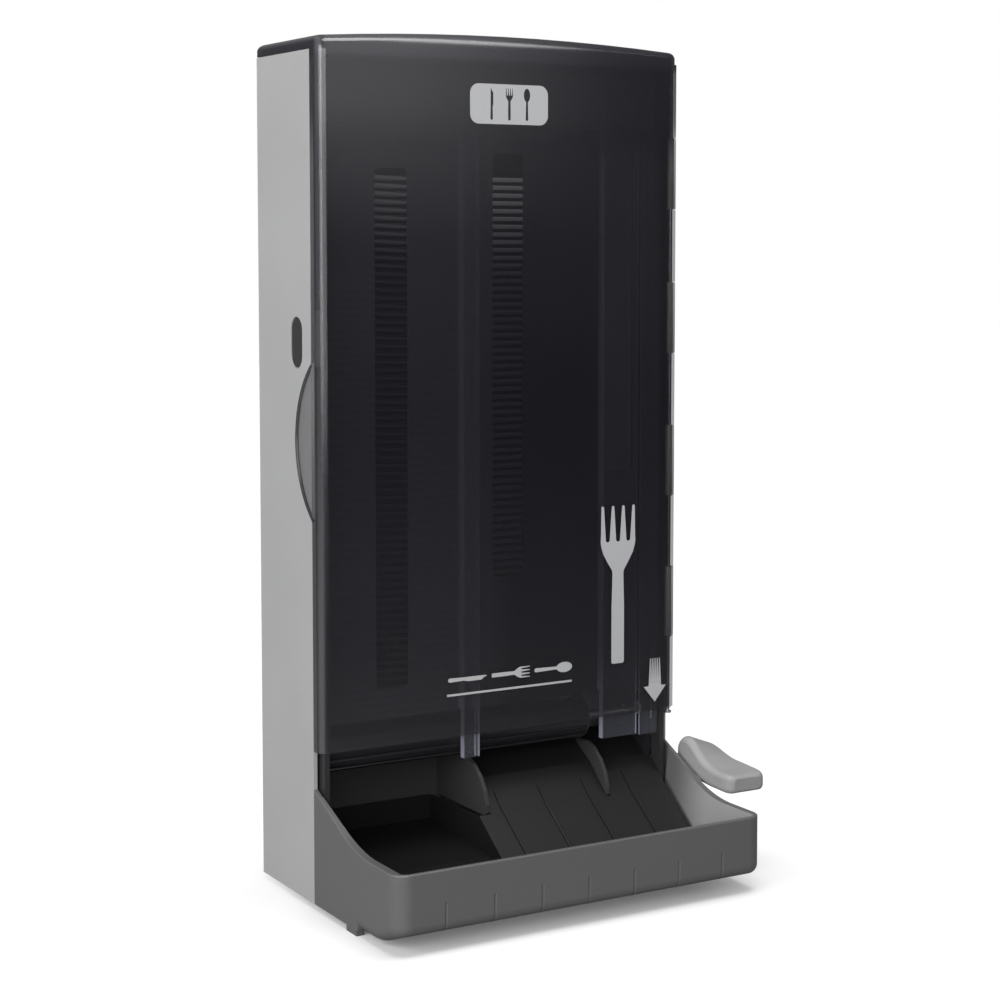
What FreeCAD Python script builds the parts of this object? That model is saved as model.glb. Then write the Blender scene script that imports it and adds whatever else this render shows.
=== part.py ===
import FreeCAD, Part
import math
import operator
import os
import Sketcher

# Cutlery dispenser with a hinged front cover, a lever and a geared dispensing drum.
# Frame: X to the right, Y towards the wall, Z up. The origin is the middle of the base's
# underside. Depths are measured forwards from the wall, so Y = seat_depth - depth.

SIZES = {
    # rear housing
    "seat_depth": 75.0,
    "case_width": 306.0,
    "case_depth": 90.0,
    "case_height": 610.0,
    "case_wall": 3.0,
    "hang_spread": 200.0,
    "hang_low": 150.0,
    "hang_rise": 370.0,
    "hang_bore": 5.5,
    "overrun": 5.0,
    # hinge along the right-hand edge
    "hinge_inset": 2.0,
    "hinge_depth": 94.8,
    "hinge_low": 112.0,
    "knuckle_radius": 4.0,
    "knuckle_gap": 0.5,
    "pin_radius": 1.6,
    "pin_play": 0.05,
    "swing_room": 5.3,
    # front cover
    "cover_depth": 102.0,
    "cover_wall": 2.8,
    "cover_low": 111.5,
    "cover_gap": 0.6,
    "cap_gap": 0.3,
    "cap_height": 9.0,
    "crown_rise": 5.8,
    "corner_round": 8.0,
    "cap_round": 5.0,
    "ear_radius": 71.0,
    "ear_depth": 138.4,
    "ear_height": 334.0,
    "ear_wall": 1.9,
    "ear_gap": 0.3,
    # cover latch
    "latch_depth": 66.2,
    "latch_height": 403.6,
    "button_width": 17.6,
    "button_height": 35.6,
    "button_play": 0.7,
    "button_proud": 0.4,
    "latch_travel": 3.5,
    "flange_lap": 2.7,
    "flange_wall": 2.2,
    "arm_wall": 2.2,
    "catch_wall": 1.8,
    "catch_reach": 80.0,
    "catch_gap": 1.2,
    "window_height": 11.0,
    "hook_clear": 0.4,
    # uprights, inner panel and guides
    "post_wall": 4.0,
    "post_inset": 2.0,
    "post_low": 48.0,
    "post_drop": 3.0,
    "post_back": 87.0,
    "post_front": 98.0,
    "web_wall": 3.0,
    "panel_front": 88.0,
    "panel_wall": 2.0,
    "panel_lift": 2.5,
    "panel_drop": 50.0,
    "slot_width": 27.0,
    "slot_corner": 4.0,
    "guide_low": 93.0,
    "guide_drop": 10.0,
    "guide_wall": 2.0,
    "guide_front": 97.0,
    "guide_step": 1.0,
    "rail_height": 6.0,
    "strip_left": -33.5,
    "strip_width": 13.5,
    "pane_inset": 52.0,
    "pane_width": 31.5,
    "edge_strip": 17.5,
    # magazine
    "magazine_inset": 32.0,
    "magazine_play": 3.0,
    "magazine_back": 52.0,
    "magazine_wall": 2.0,
    "fork_length": 185.0,
    "fork_head": 27.0,
    "fork_handle": 12.0,
    "fork_wall": 2.2,
    "fork_pitch": 5.8,
    "fork_room": 34.0,
    "fork_clear": 0.5,
    # drum and gear train
    "drum_depth": 74.0,
    "drum_height": 108.0,
    "drum_radius": 17.0,
    "drum_inset": 8.0,
    "drum_lap": 6.0,
    "shaft_radius": 3.0,
    "running_play": 0.05,
    "gear_module": 1.5,
    "pinion_teeth": 12,
    "idler_teeth": 16,
    "sector_teeth": 60,
    "gear_width": 5.0,
    "gear_inset": 7.5,
    "tooth_play": 0.12,
    "axle_radius": 2.5,
    "plate_inset": 13.0,
    "plate_wall": 4.0,
    "boss_radius": 4.0,
    # lever
    "lever_depth": 62.0,
    "lever_height": 48.0,
    "lever_shaft_radius": 4.0,
    "bush_radius": 6.0,
    "lever_gap": 1.5,
    "lever_arm": 7.5,
    "lever_reach": 40.5,
    "hub_length": 13.5,
    "lever_front": 168.0,
    "hub_radius": 10.0,
    "spring_radius": 7.0,
    "spring_wire": 1.2,
    # tray, liner, chute and base
    "tray_back": 90.4,
    "tray_front": 218.0,
    "tray_wall": 3.0,
    "tray_low": 3.0,
    "tray_lip": 53.0,
    "tray_corner": 12.5,
    "tray_rise": 11.4,
    "tray_round": 8.0,
    "tray_draft": 6.4,
    "lip_round": 1.2,
    "sweep_front": 179.0,
    "sweep_radius": 104.0,
    "sweep_angle": 25.2,
    "grip_pitch": 38.3,
    "grip_high": 29.5,
    "grip_radius": 1.2,
    "grip_proud": 0.5,
    "bin_knee": 125.0,
    "liner_wall": 2.5,
    "liner_inset": 9.0,
    "bin_right": -25.0,
    "rib_low": 60.0,
    "fin_left": -20.5,
    "fin_right": 86.0,
    "fin_wall": 3.0,
    "fin_gap": 0.4,
    "chute_back": 27.0,
    "cradle_depth": 160.0,
    "cradle_flank": 1.7,
    "foot_drop": 4.2,
    "foot_inset": 16.0,
    "foot_width": 16.0,
    "foot_back": 15.0,
    "foot_front": 30.0,
    # fasteners
    "screw_radius": 1.5,
    "screw_head": 3.2,
    "screw_head_height": 2.4,
    "screw_play": 0.05,
}

doc = FreeCAD.newDocument("cutlery_dispenser")
sheet = doc.addObject("Spreadsheet::Sheet", "Sizes")
SIGNS = {"+": operator.add, "-": operator.sub, "*": operator.mul, "/": operator.truediv}


class Size:
    """A cell of the sheet, or a sum made from cells: its formula and its number."""

    def __init__(self, formula, number):
        self.formula = formula
        self.number = float(number)

    def __float__(self):
        return self.number

    def __int__(self):
        return int(round(self.number))

    def __add__(self, other):
        return joined(self, "+", other)

    def __radd__(self, other):
        return joined(other, "+", self)

    def __sub__(self, other):
        return joined(self, "-", other)

    def __rsub__(self, other):
        return joined(other, "-", self)

    def __mul__(self, other):
        return joined(self, "*", other)

    def __rmul__(self, other):
        return joined(other, "*", self)

    def __truediv__(self, other):
        return joined(self, "/", other)

    def __neg__(self):
        return joined(0, "-", self)


def formula_of(value):
    """The text that a bound property takes for a size or a plain number."""
    return value.formula if isinstance(value, Size) else "%.9g" % value


def joined(left, sign, right):
    """One size made from two with +, -, * or /."""
    text = "(%s %s %s)" % (formula_of(left), sign, formula_of(right))
    return Size(text, SIGNS[sign](float(left), float(right)))


class Sheet:
    """Gives each cell of the sheet as a Size, by its alias."""

    def __getattr__(self, alias):
        return Size("Sizes." + alias, sheet.get(alias))


def fill_sheet():
    """Writes the driving sizes into the spreadsheet, one row each."""
    for row, (alias, number) in enumerate(SIZES.items(), start=1):
        sheet.set("A%d" % row, alias)
        sheet.set("B%d" % row, str(number))
        sheet.setAlias("B%d" % row, alias)
    doc.recompute()


fill_sheet()
S = Sheet()
parts = []


# ---------------------------------------------------------------- building blocks

def bind(thing, prop, value):
    """Ties one property of an object to the sheet."""
    thing.setExpression(prop, formula_of(value))


def place(thing, x, depth, z):
    """Ties an object's position to an X, a depth from the wall and a height."""
    bind(thing, "Placement.Base.x", x)
    bind(thing, "Placement.Base.y", S.seat_depth - depth)
    bind(thing, "Placement.Base.z", z)
    return thing


def block(name, x, depth, z):
    """A box between two X values, two depths and two heights."""
    box = doc.addObject("Part::Box", name)
    bind(box, "Length", x[1] - x[0])
    bind(box, "Width", depth[1] - depth[0])
    bind(box, "Height", z[1] - z[0])
    return place(box, x[0], depth[1], z[0])


TURNS = {
    "x": FreeCAD.Rotation(FreeCAD.Vector(0, 1, 0), 90),
    "y": FreeCAD.Rotation(FreeCAD.Vector(1, 0, 0), -90),
    "z": FreeCAD.Rotation(),
}


def rod(name, axis, start, length, radius):
    """A cylinder along +X, +Y (towards the wall) or +Z from start = (x, depth, z)."""
    cylinder = doc.addObject("Part::Cylinder", name)
    cylinder.Placement = FreeCAD.Placement(FreeCAD.Vector(), TURNS[axis])
    bind(cylinder, "Radius", radius)
    bind(cylinder, "Height", length)
    return place(cylinder, *start)


def fuse(name, pieces):
    """One object from several; pieces that don't touch stay separate solids in it."""
    union = doc.addObject("Part::MultiFuse", name)
    union.Shapes = pieces
    union.Refine = True
    return union


def cut(name, base, tools):
    """The base without the tools."""
    tool = tools[0]
    if len(tools) > 1:
        tool = doc.addObject("Part::Compound", name + "_tools")
        tool.Links = tools
    rest = doc.addObject("Part::Cut", name)
    rest.Base = base
    rest.Tool = tool
    return rest


def slot_tool(name, x, depth, z, width, height):
    """An upright slot with round ends, cut through along X; depth and z are its centre."""
    straight = (height - width) / 2
    middle = block(name + "_middle", x, (depth - width / 2, depth + width / 2), (z - straight, z + straight))
    ends = [rod("%s_end_%d" % (name, side), "x", (x[0], depth, z + straight * side), x[1] - x[0], width / 2)
            for side in (-1, 1)]
    return fuse(name, [middle] + ends)


def window_tool(name, x, depth, z, corner):
    """An upright window with rounded corners, cut through along the depth."""
    wide = block(name + "_wide", x, depth, (z[0] + corner, z[1] - corner))
    tall = block(name + "_tall", (x[0] + corner, x[1] - corner), depth, z)
    through = depth[1] - depth[0]
    corners = [rod("%s_corner_%d%d" % (name, side, end), "y", (spot, depth[1], height), through, corner)
               for side, spot in enumerate((x[0] + corner, x[1] - corner))
               for end, height in enumerate((z[0] + corner, z[1] - corner))]
    return fuse(name, [wide, tall] + corners)


def origin_plane(body, role):
    """One of a body's own origin planes."""
    return [feature for feature in body.Origin.OriginFeatures if feature.Role == role][0]


def outline_points(view, outline):
    """Turns a side, front or top outline into sketch coordinates."""
    if view == "side":
        return [(S.seat_depth - depth, z) for depth, z in outline]
    if view == "top":
        return [(x, S.seat_depth - depth) for x, depth in outline]
    return outline


VIEW_PLANES = {"side": "YZ_Plane", "front": "XZ_Plane", "top": "XY_Plane"}


def sketch_outline(body, name, view, outline, offset):
    """A closed polygon on one of the body's planes, every corner tied to the sheet."""
    points = outline_points(view, outline)
    sketch = body.newObject("Sketcher::SketchObject", name)
    sketch.AttachmentSupport = [(origin_plane(body, VIEW_PLANES[view]), "")]
    sketch.MapMode = "FlatFace"
    sketch.setExpression(".AttachmentOffset.Base.z", formula_of(offset))
    corners = [FreeCAD.Vector(float(u), float(v), 0) for u, v in points]
    count = len(corners)
    for index in range(count):
        sketch.addGeometry(Part.LineSegment(corners[index], corners[(index + 1) % count]))
    for index in range(count):
        sketch.addConstraint(Sketcher.Constraint("Coincident", index, 2, (index + 1) % count, 1))
    for index, (u, v) in enumerate(points):
        for kind, value in (("DistanceX", u), ("DistanceY", v)):
            number = sketch.addConstraint(Sketcher.Constraint(kind, -1, 1, index, 1, float(value)))
            sketch.setExpression("Constraints[%d]" % number, formula_of(value))
    return sketch


def plane_offset(view, low, high, far):
    """Where a sketch plane stands for a pad (near side) or a pocket (far side)."""
    if view == "front":
        return (high if far else low) - S.seat_depth
    return high if far else low


def body(name, pads, pockets=()):
    """A PartDesign body. Each pad or pocket is (view, outline, low, high).

    A side view's outline holds (depth, z) and runs between two X values; a front view's
    holds (x, z) and runs between two depths; a top view's holds (x, depth) and runs
    between two heights.
    """
    solid = doc.addObject("PartDesign::Body", name)
    for kind, steps in (("Pad", pads), ("Pocket", pockets)):
        for index, (view, outline, low, high) in enumerate(steps):
            tag = "%s_%s_%d" % (name, kind.lower(), index)
            offset = plane_offset(view, low, high, kind == "Pocket")
            sketch = sketch_outline(solid, tag + "_sketch", view, outline, offset)
            feature = solid.newObject("PartDesign::" + kind, tag)
            feature.Profile = sketch
            bind(feature, "Length", high - low)
    return solid


def rectangle(u, v):
    """Four corners between two values each way."""
    return [(u[0], v[0]), (u[1], v[0]), (u[1], v[1]), (u[0], v[1])]


def shaped(name, shape, spot=FreeCAD.Vector(), turn=FreeCAD.Rotation()):
    """A sub-part whose shape is made directly from the sheet's sizes, set down at a spot."""
    feature = doc.addObject("Part::Feature", name)
    feature.Shape = shape
    feature.Placement = FreeCAD.Placement(spot, turn)
    return feature


def part(label, thing):
    """Registers a finished sub-part under its own name."""
    thing.Label = label
    parts.append((label, thing))
    return thing


def at(x, depth, z):
    """A point in the frame from an X, a depth from the wall and a height."""
    return FreeCAD.Vector(float(x), float(S.seat_depth - depth), float(z))


ACROSS = FreeCAD.Vector(1, 0, 0)


def flat_face(corners):
    """A flat polygon face."""
    return Part.Face(Part.makePolygon(corners + corners[:1]))


def side_face(x, points):
    """A flat face across X from (depth, height) points."""
    return flat_face([at(x, depth, z) for depth, z in points])


# ---------------------------------------------------------------- shared places

HALF = S.case_width / 2
INSIDE = HALF - S.case_wall
HINGE_X = HALF - S.hinge_inset
HINGE_HIGH = S.case_height + S.knuckle_gap
KNUCKLES = 9
KNUCKLE_RISE = (HINGE_HIGH - S.hinge_low) / KNUCKLES
RIGHT_POST_OUTER = INSIDE - S.knuckle_radius - S.knuckle_gap
RIGHT_POST_INNER = RIGHT_POST_OUTER - S.post_wall
LEFT_POST_OUTER = S.post_inset - INSIDE
LEFT_POST_INNER = LEFT_POST_OUTER + S.post_wall
DRUM_LEFT = S.drum_inset - INSIDE
MAGAZINE_LEFT = S.magazine_inset - INSIDE
MAGAZINE_RIGHT = MAGAZINE_LEFT + S.fork_length + S.magazine_wall * 2 + S.magazine_play
DRUM_RIGHT = MAGAZINE_RIGHT + S.drum_lap
PLATE_LEFT = INSIDE - S.plate_inset
GEAR_LEFT = INSIDE - S.gear_inset
LEVER_LEFT = HALF + S.lever_gap
LEVER_RIGHT = HALF + S.lever_reach
BIN_LEFT = S.liner_inset - INSIDE
RAMP_RIGHT = INSIDE - S.liner_inset
FORK_LOW = S.drum_height + S.drum_radius + S.fork_clear
PANEL_LOW = FORK_LOW + S.panel_lift
PANEL_HIGH = S.case_height - S.panel_drop
POST_HIGH = S.case_height - S.post_drop
GUIDE_HIGH = S.case_height - S.guide_drop
SCREW_HEIGHTS = (PANEL_LOW + 32, PANEL_LOW + 212, GUIDE_HIGH - 40)


def knuckle_span(index):
    """Lowest and highest point of one hinge knuckle's share of the hinge line."""
    return S.hinge_low + KNUCKLE_RISE * index, S.hinge_low + KNUCKLE_RISE * (index + 1)


# ---------------------------------------------------------------- housing and cover

def make_housing():
    """The back shell: open at the front, with hinge knuckles down its right edge."""
    shell = block("housing_block", (-HALF, HALF), (0, S.case_depth), (0, S.case_height))
    hollow = block("housing_hollow", (-INSIDE, INSIDE), (S.case_wall, S.case_depth + S.overrun),
                   (S.case_wall, S.case_height - S.case_wall))
    edge = S.hinge_depth - S.swing_room
    strip = block("housing_strip", (INSIDE - S.overrun, HALF + S.overrun), (edge, S.case_depth + S.overrun),
                  (S.case_wall, S.case_height + S.overrun))
    latch = slot_tool("latch_slot", (-HALF - S.overrun, -INSIDE + S.overrun), S.latch_depth, S.latch_height,
                      S.button_width + S.button_play * 2, S.button_height + S.button_play * 2)
    bush_hole = rod("bush_hole", "x", (INSIDE - S.overrun, S.lever_depth, S.lever_height),
                    S.case_wall + S.overrun * 2, S.bush_radius)
    tools = [hollow, strip, latch, bush_hole]
    tools += [block("foot_window_%d" % index, x, depth, (-S.overrun, S.case_wall + 1))
              for index, (x, depth) in enumerate(rear_foot_places())]
    for side in (-1, 1):
        for level in (0, 1):
            spot = (S.hang_spread / 2 * side, S.case_wall + S.overrun, S.hang_low + S.hang_rise * level)
            tools.append(rod("hang_hole_%d_%d" % (side, level), "y", spot, S.case_wall + S.overrun * 2,
                             S.hang_bore / 2))
    tools += [rod("screw_seat_%d" % index, axis, start, S.overrun, S.screw_radius + S.screw_play)
              for index, (axis, start) in enumerate(screw_seats())]
    case = cut("housing_case", shell, tools)
    webs = []
    for index in range(1, KNUCKLES, 2):
        low, high = knuckle_span(index)
        span = (low + S.knuckle_gap, high - S.knuckle_gap)
        webs.append(block("housing_web_%d" % index, (INSIDE, HALF), (edge - 1, S.hinge_depth), span))
        webs.append(rod("housing_knuckle_%d" % index, "z", (HINGE_X, S.hinge_depth, span[0]),
                        span[1] - span[0], S.knuckle_radius))
    joined_case = fuse("housing_with_knuckles", [case] + webs)
    bore = rod("housing_pin_bore", "z", (HINGE_X, S.hinge_depth, S.hinge_low), HINGE_HIGH - S.hinge_low,
               S.pin_radius + S.pin_play)
    part("rear_housing", cut("rear_housing", joined_case, [bore]))


def screw_seats():
    """Blind holes in the housing's walls: the side walls' along X, the floor's along Z."""
    seats = [("x", (INSIDE + 2 - S.overrun, depth, z)) for depth, z in boss_places()]
    for z in SCREW_HEIGHTS:
        seats.append(("x", (-INSIDE - 2, WEB_SCREW_DEPTH, z)))
        seats.append(("x", (INSIDE + 2 - S.overrun, WEB_SCREW_DEPTH, z)))
    seats += [("z", (x, CRADLE_SCREW_DEPTH, 1)) for x in CRADLE_SCREW_X]
    seats += [("x", (-INSIDE - 2, depth, z)) for depth, z in latch_screw_places()]
    return seats


WEB_SCREW_DEPTH = S.post_back - 5
CRADLE_SCREW_DEPTH = S.case_depth - 12
CRADLE_SCREW_X = (-110.0, -60.0, 60.0, 110.0)
BOSS_PLACES = ((28.0, 28.0), (28.0, S.drum_height + 10), (80.0, 30.0), (80.0, S.drum_height + 16))


def boss_places():
    """Depth and height of the drive plate's four bosses."""
    return BOSS_PLACES


def latch_screw_places():
    """Depth and height of the latch bracket's two screws."""
    reach = S.button_height / 2 + S.flange_lap + S.button_play + 6
    return [(S.latch_depth, S.latch_height - reach), (S.latch_depth, S.latch_height + reach)]


def crown_arc(half, shoulder, rise):
    """The wire of a block seen from the front with an arched top; its foot is below the cover."""
    foot = float(S.cover_low - S.overrun)
    left, right = FreeCAD.Vector(-half, 0, shoulder), FreeCAD.Vector(half, 0, shoulder)
    low_left, low_right = FreeCAD.Vector(-half, 0, foot), FreeCAD.Vector(half, 0, foot)
    top = Part.Arc(left, FreeCAD.Vector(0, 0, shoulder + rise), right).toShape()
    foot_line = Part.LineSegment(low_right, low_left).toShape()
    return Part.Wire([foot_line, Part.LineSegment(low_left, left).toShape(), top,
                      Part.LineSegment(right, low_right).toShape()])


def crowned_block(half, shoulder, rise, back, front, corner, edge):
    """A block with an arched top, rounded front corners and rounded top edges."""
    wire = crown_arc(half, shoulder, rise)
    wire.translate(FreeCAD.Vector(0, float(S.seat_depth) - back, 0))
    solid = Part.Face(wire).extrude(FreeCAD.Vector(0, back - front, 0))
    front_y = float(S.seat_depth) - front
    upright = [e for e in solid.Edges
               if abs(e.CenterOfMass.y - front_y) < 1e-3 and abs(abs(e.CenterOfMass.x) - half) < 1e-3]
    solid = solid.makeFillet(corner, upright)
    top = [e for e in solid.Edges if e.BoundBox.ZMin > shoulder - 1e-3]
    return solid.makeFillet(edge, top)


def slab(x, depth, z):
    """A plain box shape between two X values, two depths and two heights."""
    corner = at(x[0], depth[1], z[0])
    return Part.makeBox(float(x[1] - x[0]), float(depth[1] - depth[0]), float(z[1] - z[0]), corner)


def make_cover():
    """The see-through door: an open-backed shell with a cap over the housing."""
    half, wall = float(HALF), float(S.cover_wall)
    shoulder = float(S.case_height + S.cap_height)
    rise = float(S.crown_rise)
    front = float(S.cover_depth)
    outer = crowned_block(half, shoulder, rise, 1.0, front, float(S.corner_round), float(S.cap_round))
    inner = crowned_block(half - wall, shoulder - wall, rise, 1.0 + wall, front - wall,
                          float(S.corner_round) - wall, float(S.cap_round) - wall)
    cap_low = S.case_height + S.cap_gap
    back = slab((-HALF - 9, HALF + 9), (-9, S.case_depth + S.cover_gap), (S.cover_low - 20, cap_low))
    foot = slab((-HALF - 9, HALF + 9), (-9, S.cover_depth + 9), (S.cover_low - 20, S.cover_low))
    shell = outer.cut([inner, back, foot])
    notches = []
    barrels = []
    for index in range(KNUCKLES):
        low, high = knuckle_span(index)
        if index % 2:
            reach = S.knuckle_radius + 1
            depths = (S.case_depth - 9, S.hinge_depth + S.knuckle_radius + 0.1)
            notches.append(slab((HINGE_X - reach, HALF + 9), depths, (low, high)))
        else:
            barrels.append(Part.makeCylinder(float(S.knuckle_radius), float(high - low),
                                             at(HINGE_X, S.hinge_depth, low)))
    bore = Part.makeCylinder(float(S.pin_radius + S.pin_play), float(HINGE_HIGH - S.hinge_low) + 2,
                             at(HINGE_X, S.hinge_depth, S.hinge_low - 1))
    ear = [ear_slice(S.ear_gap, S.ear_gap + S.ear_wall, S.case_depth - 40),
           ear_slice(-1, S.ear_gap + S.ear_wall, S.case_depth + S.cover_gap)]
    shell = shell.cut(notches).fuse(barrels + ear).cut(bore).removeSplitter()
    part("front_cover", shaped("front_cover", shell.Solids[0] if len(shell.Solids) == 1 else shell))


def ear_slice(near, far, back):
    """The part of the ear's disc between two distances outside the left face, ahead of a depth."""
    centre = at(-HALF - far, S.ear_depth, S.ear_height)
    disc = Part.makeCylinder(float(S.ear_radius), float(far - near), centre, ACROSS)
    return disc.common(slab((-HALF - 20, -HALF + 20), (back, S.hinge_depth + 0.2), (0, S.case_height)))


def make_hinge_pin():
    """The long pin with a small head under the lowest knuckle."""
    low, high = S.hinge_low - 4, HINGE_HIGH - 1.5
    shank = rod("hinge_pin_shank", "z", (HINGE_X, S.hinge_depth, low), high - low, S.pin_radius)
    head = rod("hinge_pin_head", "z", (HINGE_X, S.hinge_depth, low - 1.5), 1.5, S.knuckle_radius - 1)
    part("hinge_pin", fuse("hinge_pin", [shank, head]))


CATCH_X = (S.catch_gap - INSIDE, S.catch_gap + S.catch_wall - INSIDE)


def make_catch():
    """The catch plate behind the cover's left edge, with a window for the latch nose."""
    inner_face = S.cover_wall - HALF
    back = S.case_depth + S.cover_gap
    flat_end = S.cover_depth - S.corner_round
    span = (S.latch_height - 16, S.latch_height + 24)
    plate = block("catch_plate", CATCH_X, (S.catch_reach, flat_end), span)
    root = block("catch_root", (inner_face, CATCH_X[0] + 0.5), (back, flat_end), span)
    window = block("catch_window", (CATCH_X[0] - 1, CATCH_X[1] + 1), (S.catch_reach + 2, S.catch_reach + 6),
                   (S.latch_height - S.window_height / 2, S.latch_height + S.window_height / 2))
    part("cover_catch", cut("cover_catch", fuse("catch_solid", [plate, root]), [window]))


# ---------------------------------------------------------------- latch

def make_latch():
    """The sprung oval button in the left wall, its bracket and its spring."""
    face = S.button_proud - HALF
    flange = (S.button_proud - INSIDE, S.button_proud + S.flange_wall - INSIDE)
    arm = (flange[1] + 1.3, flange[1] + 1.3 + S.arm_wall)
    button = slot_tool("button_face", (face, arm[1]), S.latch_depth, S.latch_height, S.button_width,
                       S.button_height)
    lip = slot_tool("button_lip", flange, S.latch_depth, S.latch_height, S.button_width + S.flange_lap * 2,
                    S.button_height + S.flange_lap * 2)
    strip = block("button_arm", arm, (S.latch_depth, S.catch_reach + 5.6),
                  (S.latch_height - 4.5, S.latch_height + 4.5))
    nose = block("button_nose", (CATCH_X[1] + S.hook_clear, arm[0] + 0.5),
                 (S.catch_reach + 2.4, S.catch_reach + 5.6), (S.latch_height - 4, S.latch_height + 4))
    part("latch_button", fuse("latch_button", [button, lip, strip, nose]))
    reach = S.button_height / 2 + S.flange_lap + S.button_play
    bridge = arm[1] + S.latch_travel + 9
    depths = (S.latch_depth - 9, S.latch_depth + 9)
    legs = []
    for side in (-1, 1):
        near, far = S.latch_height + reach * side, S.latch_height + (reach + 2) * side
        low, high = (far, near) if side < 0 else (near, far)
        legs.append(block("bracket_leg_%d" % side, (-INSIDE, bridge), depths, (low, high)))
        low, high = (far - 8, far) if side < 0 else (far, far + 8)
        legs.append(block("bracket_foot_%d" % side, (-INSIDE, 2 - INSIDE), depths, (low, high)))
    back = block("bracket_back", (bridge, bridge + 2), depths,
                 (S.latch_height - reach - 2, S.latch_height + reach + 2))
    holes = [rod("bracket_hole_%d" % index, "x", (-INSIDE - 1, depth, z), 4, S.screw_radius + S.screw_play)
             for index, (depth, z) in enumerate(latch_screw_places())]
    part("latch_bracket", cut("latch_bracket", fuse("bracket_solid", legs + [back]), holes))
    spring = coil(4.0, 0.4, float(bridge - arm[1] - S.latch_travel) - 1.4, 5)
    seat = at(arm[1] + S.latch_travel + 0.8, S.latch_depth, S.latch_height)
    part("latch_spring", shaped("latch_spring", spring, seat, TURNS["x"]))


def coil(radius, wire, height, turns, steps=14, sides=6):
    """A spring of thin wire along +Z, its first turn starting at +X, made of short flat facets."""
    rise = height / turns / (2 * math.pi)
    rings = []
    for index in range(turns * steps + 1):
        angle = 2 * math.pi * index / steps
        outward = FreeCAD.Vector(math.cos(angle), math.sin(angle), 0)
        along = FreeCAD.Vector(-radius * math.sin(angle), radius * math.cos(angle), rise).normalize()
        side = along.cross(outward)
        middle = outward * radius + FreeCAD.Vector(0, 0, rise * angle)
        rings.append([middle + outward * (wire * math.cos(2 * math.pi * k / sides))
                      + side * (wire * math.sin(2 * math.pi * k / sides)) for k in range(sides)])
    faces = [flat_face(rings[0]), flat_face(rings[-1])]
    for near, far in zip(rings, rings[1:]):
        for k in range(sides):
            n = (k + 1) % sides
            faces += [flat_face([near[k], near[n], far[n]]), flat_face([near[k], far[n], far[k]])]
    solid = Part.makeSolid(Part.makeShell(faces))
    return solid.reversed() if solid.Volume < 0 else solid


# ---------------------------------------------------------------- uprights and panels

def make_posts():
    """The two uprights, each with a web screwed to a side wall of the housing."""
    left = rectangle((LEFT_POST_OUTER, LEFT_POST_INNER), (S.post_back, S.post_front))
    left_web = rectangle((-INSIDE, S.web_wall - INSIDE), (S.post_back - 9, S.post_back + 1))
    gap = (S.latch_height - 22, S.latch_height + 30)
    relief = rectangle((-INSIDE - 1, CATCH_X[1] + 0.7), (S.post_back - 20, S.post_front + 1))
    post = body("left_post_body",
                [("top", left, S.post_low, POST_HIGH), ("top", left_web, PANEL_LOW + 2, GUIDE_HIGH)],
                [("top", relief, gap[0], gap[1])])
    part("left_post", cut("left_post", post, web_holes("left", -INSIDE - 1)))
    outer, inner = RIGHT_POST_OUTER, RIGHT_POST_INNER
    right = rectangle((inner, outer), (S.post_back, S.post_front))
    step = rectangle((outer - 1, INSIDE), (S.post_back - 1.8, S.post_back + 0.5))
    right_web = rectangle((INSIDE - S.web_wall, INSIDE), (S.post_back - 9, S.post_back - 1))
    post = body("right_post_body",
                [("top", right, S.post_low, POST_HIGH), ("top", step, PANEL_LOW + 2, GUIDE_HIGH),
                 ("top", right_web, PANEL_LOW + 2, GUIDE_HIGH)])
    part("right_post", cut("right_post", post, web_holes("right", INSIDE - S.web_wall - 1)))


def web_holes(side, start_x):
    """Clearance holes through one post's web."""
    return [rod("%s_web_hole_%d" % (side, index), "x", (start_x, WEB_SCREW_DEPTH, z), S.web_wall + 2,
                S.screw_radius + S.screw_play) for index, z in enumerate(SCREW_HEIGHTS)]


SLOTS = (
    (LEFT_POST_INNER + 56.3, PANEL_LOW + 22.3, PANEL_HIGH - 31.5),
    (10.0, PANEL_LOW + 97, PANEL_HIGH - 19),
    (RIGHT_POST_INNER - 33.9, PANEL_LOW + 171.5, PANEL_HIGH - 17),
)


def make_panels():
    """The slotted inner panel and the clear guides in front of it."""
    left, right = LEFT_POST_INNER, RIGHT_POST_INNER
    sheet = rectangle((left, right), (S.panel_front - S.panel_wall, S.panel_front))
    panel = body("inner_panel_sheet", [("top", sheet, PANEL_LOW, PANEL_HIGH)])
    half = S.slot_width / 2
    depth = (S.panel_front - S.panel_wall - 1, S.panel_front + 1)
    windows = [window_tool("panel_slot_%d" % index, (x - half, x + half), depth, span, S.slot_corner)
               for index, (x, *span) in enumerate(SLOTS)]
    part("inner_panel", cut("inner_panel", panel, windows))
    span = (S.guide_low, GUIDE_HIGH)
    above = (PANEL_LOW + 2, GUIDE_HIGH)
    near, far = S.guide_front, S.guide_front - S.guide_step
    strip = (S.strip_left, S.strip_left + S.strip_width)
    pane = (right - S.pane_inset, right - S.pane_inset + S.pane_width)
    make_guide("left_guide_strip", strip, near, (True, True), span, above)
    make_guide("right_guide_panel", pane, far, (True, False), span, above)
    make_guide("right_guide_strip", (right - S.edge_strip, right), far, (False, False),
               (S.guide_low - 1, GUIDE_HIGH), above)
    rail = rectangle((left, right), (S.panel_front, S.tray_back + 5.6))
    part("guide_rail", body("guide_rail", [("top", rail, GUIDE_HIGH, GUIDE_HIGH + S.rail_height)]))


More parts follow.
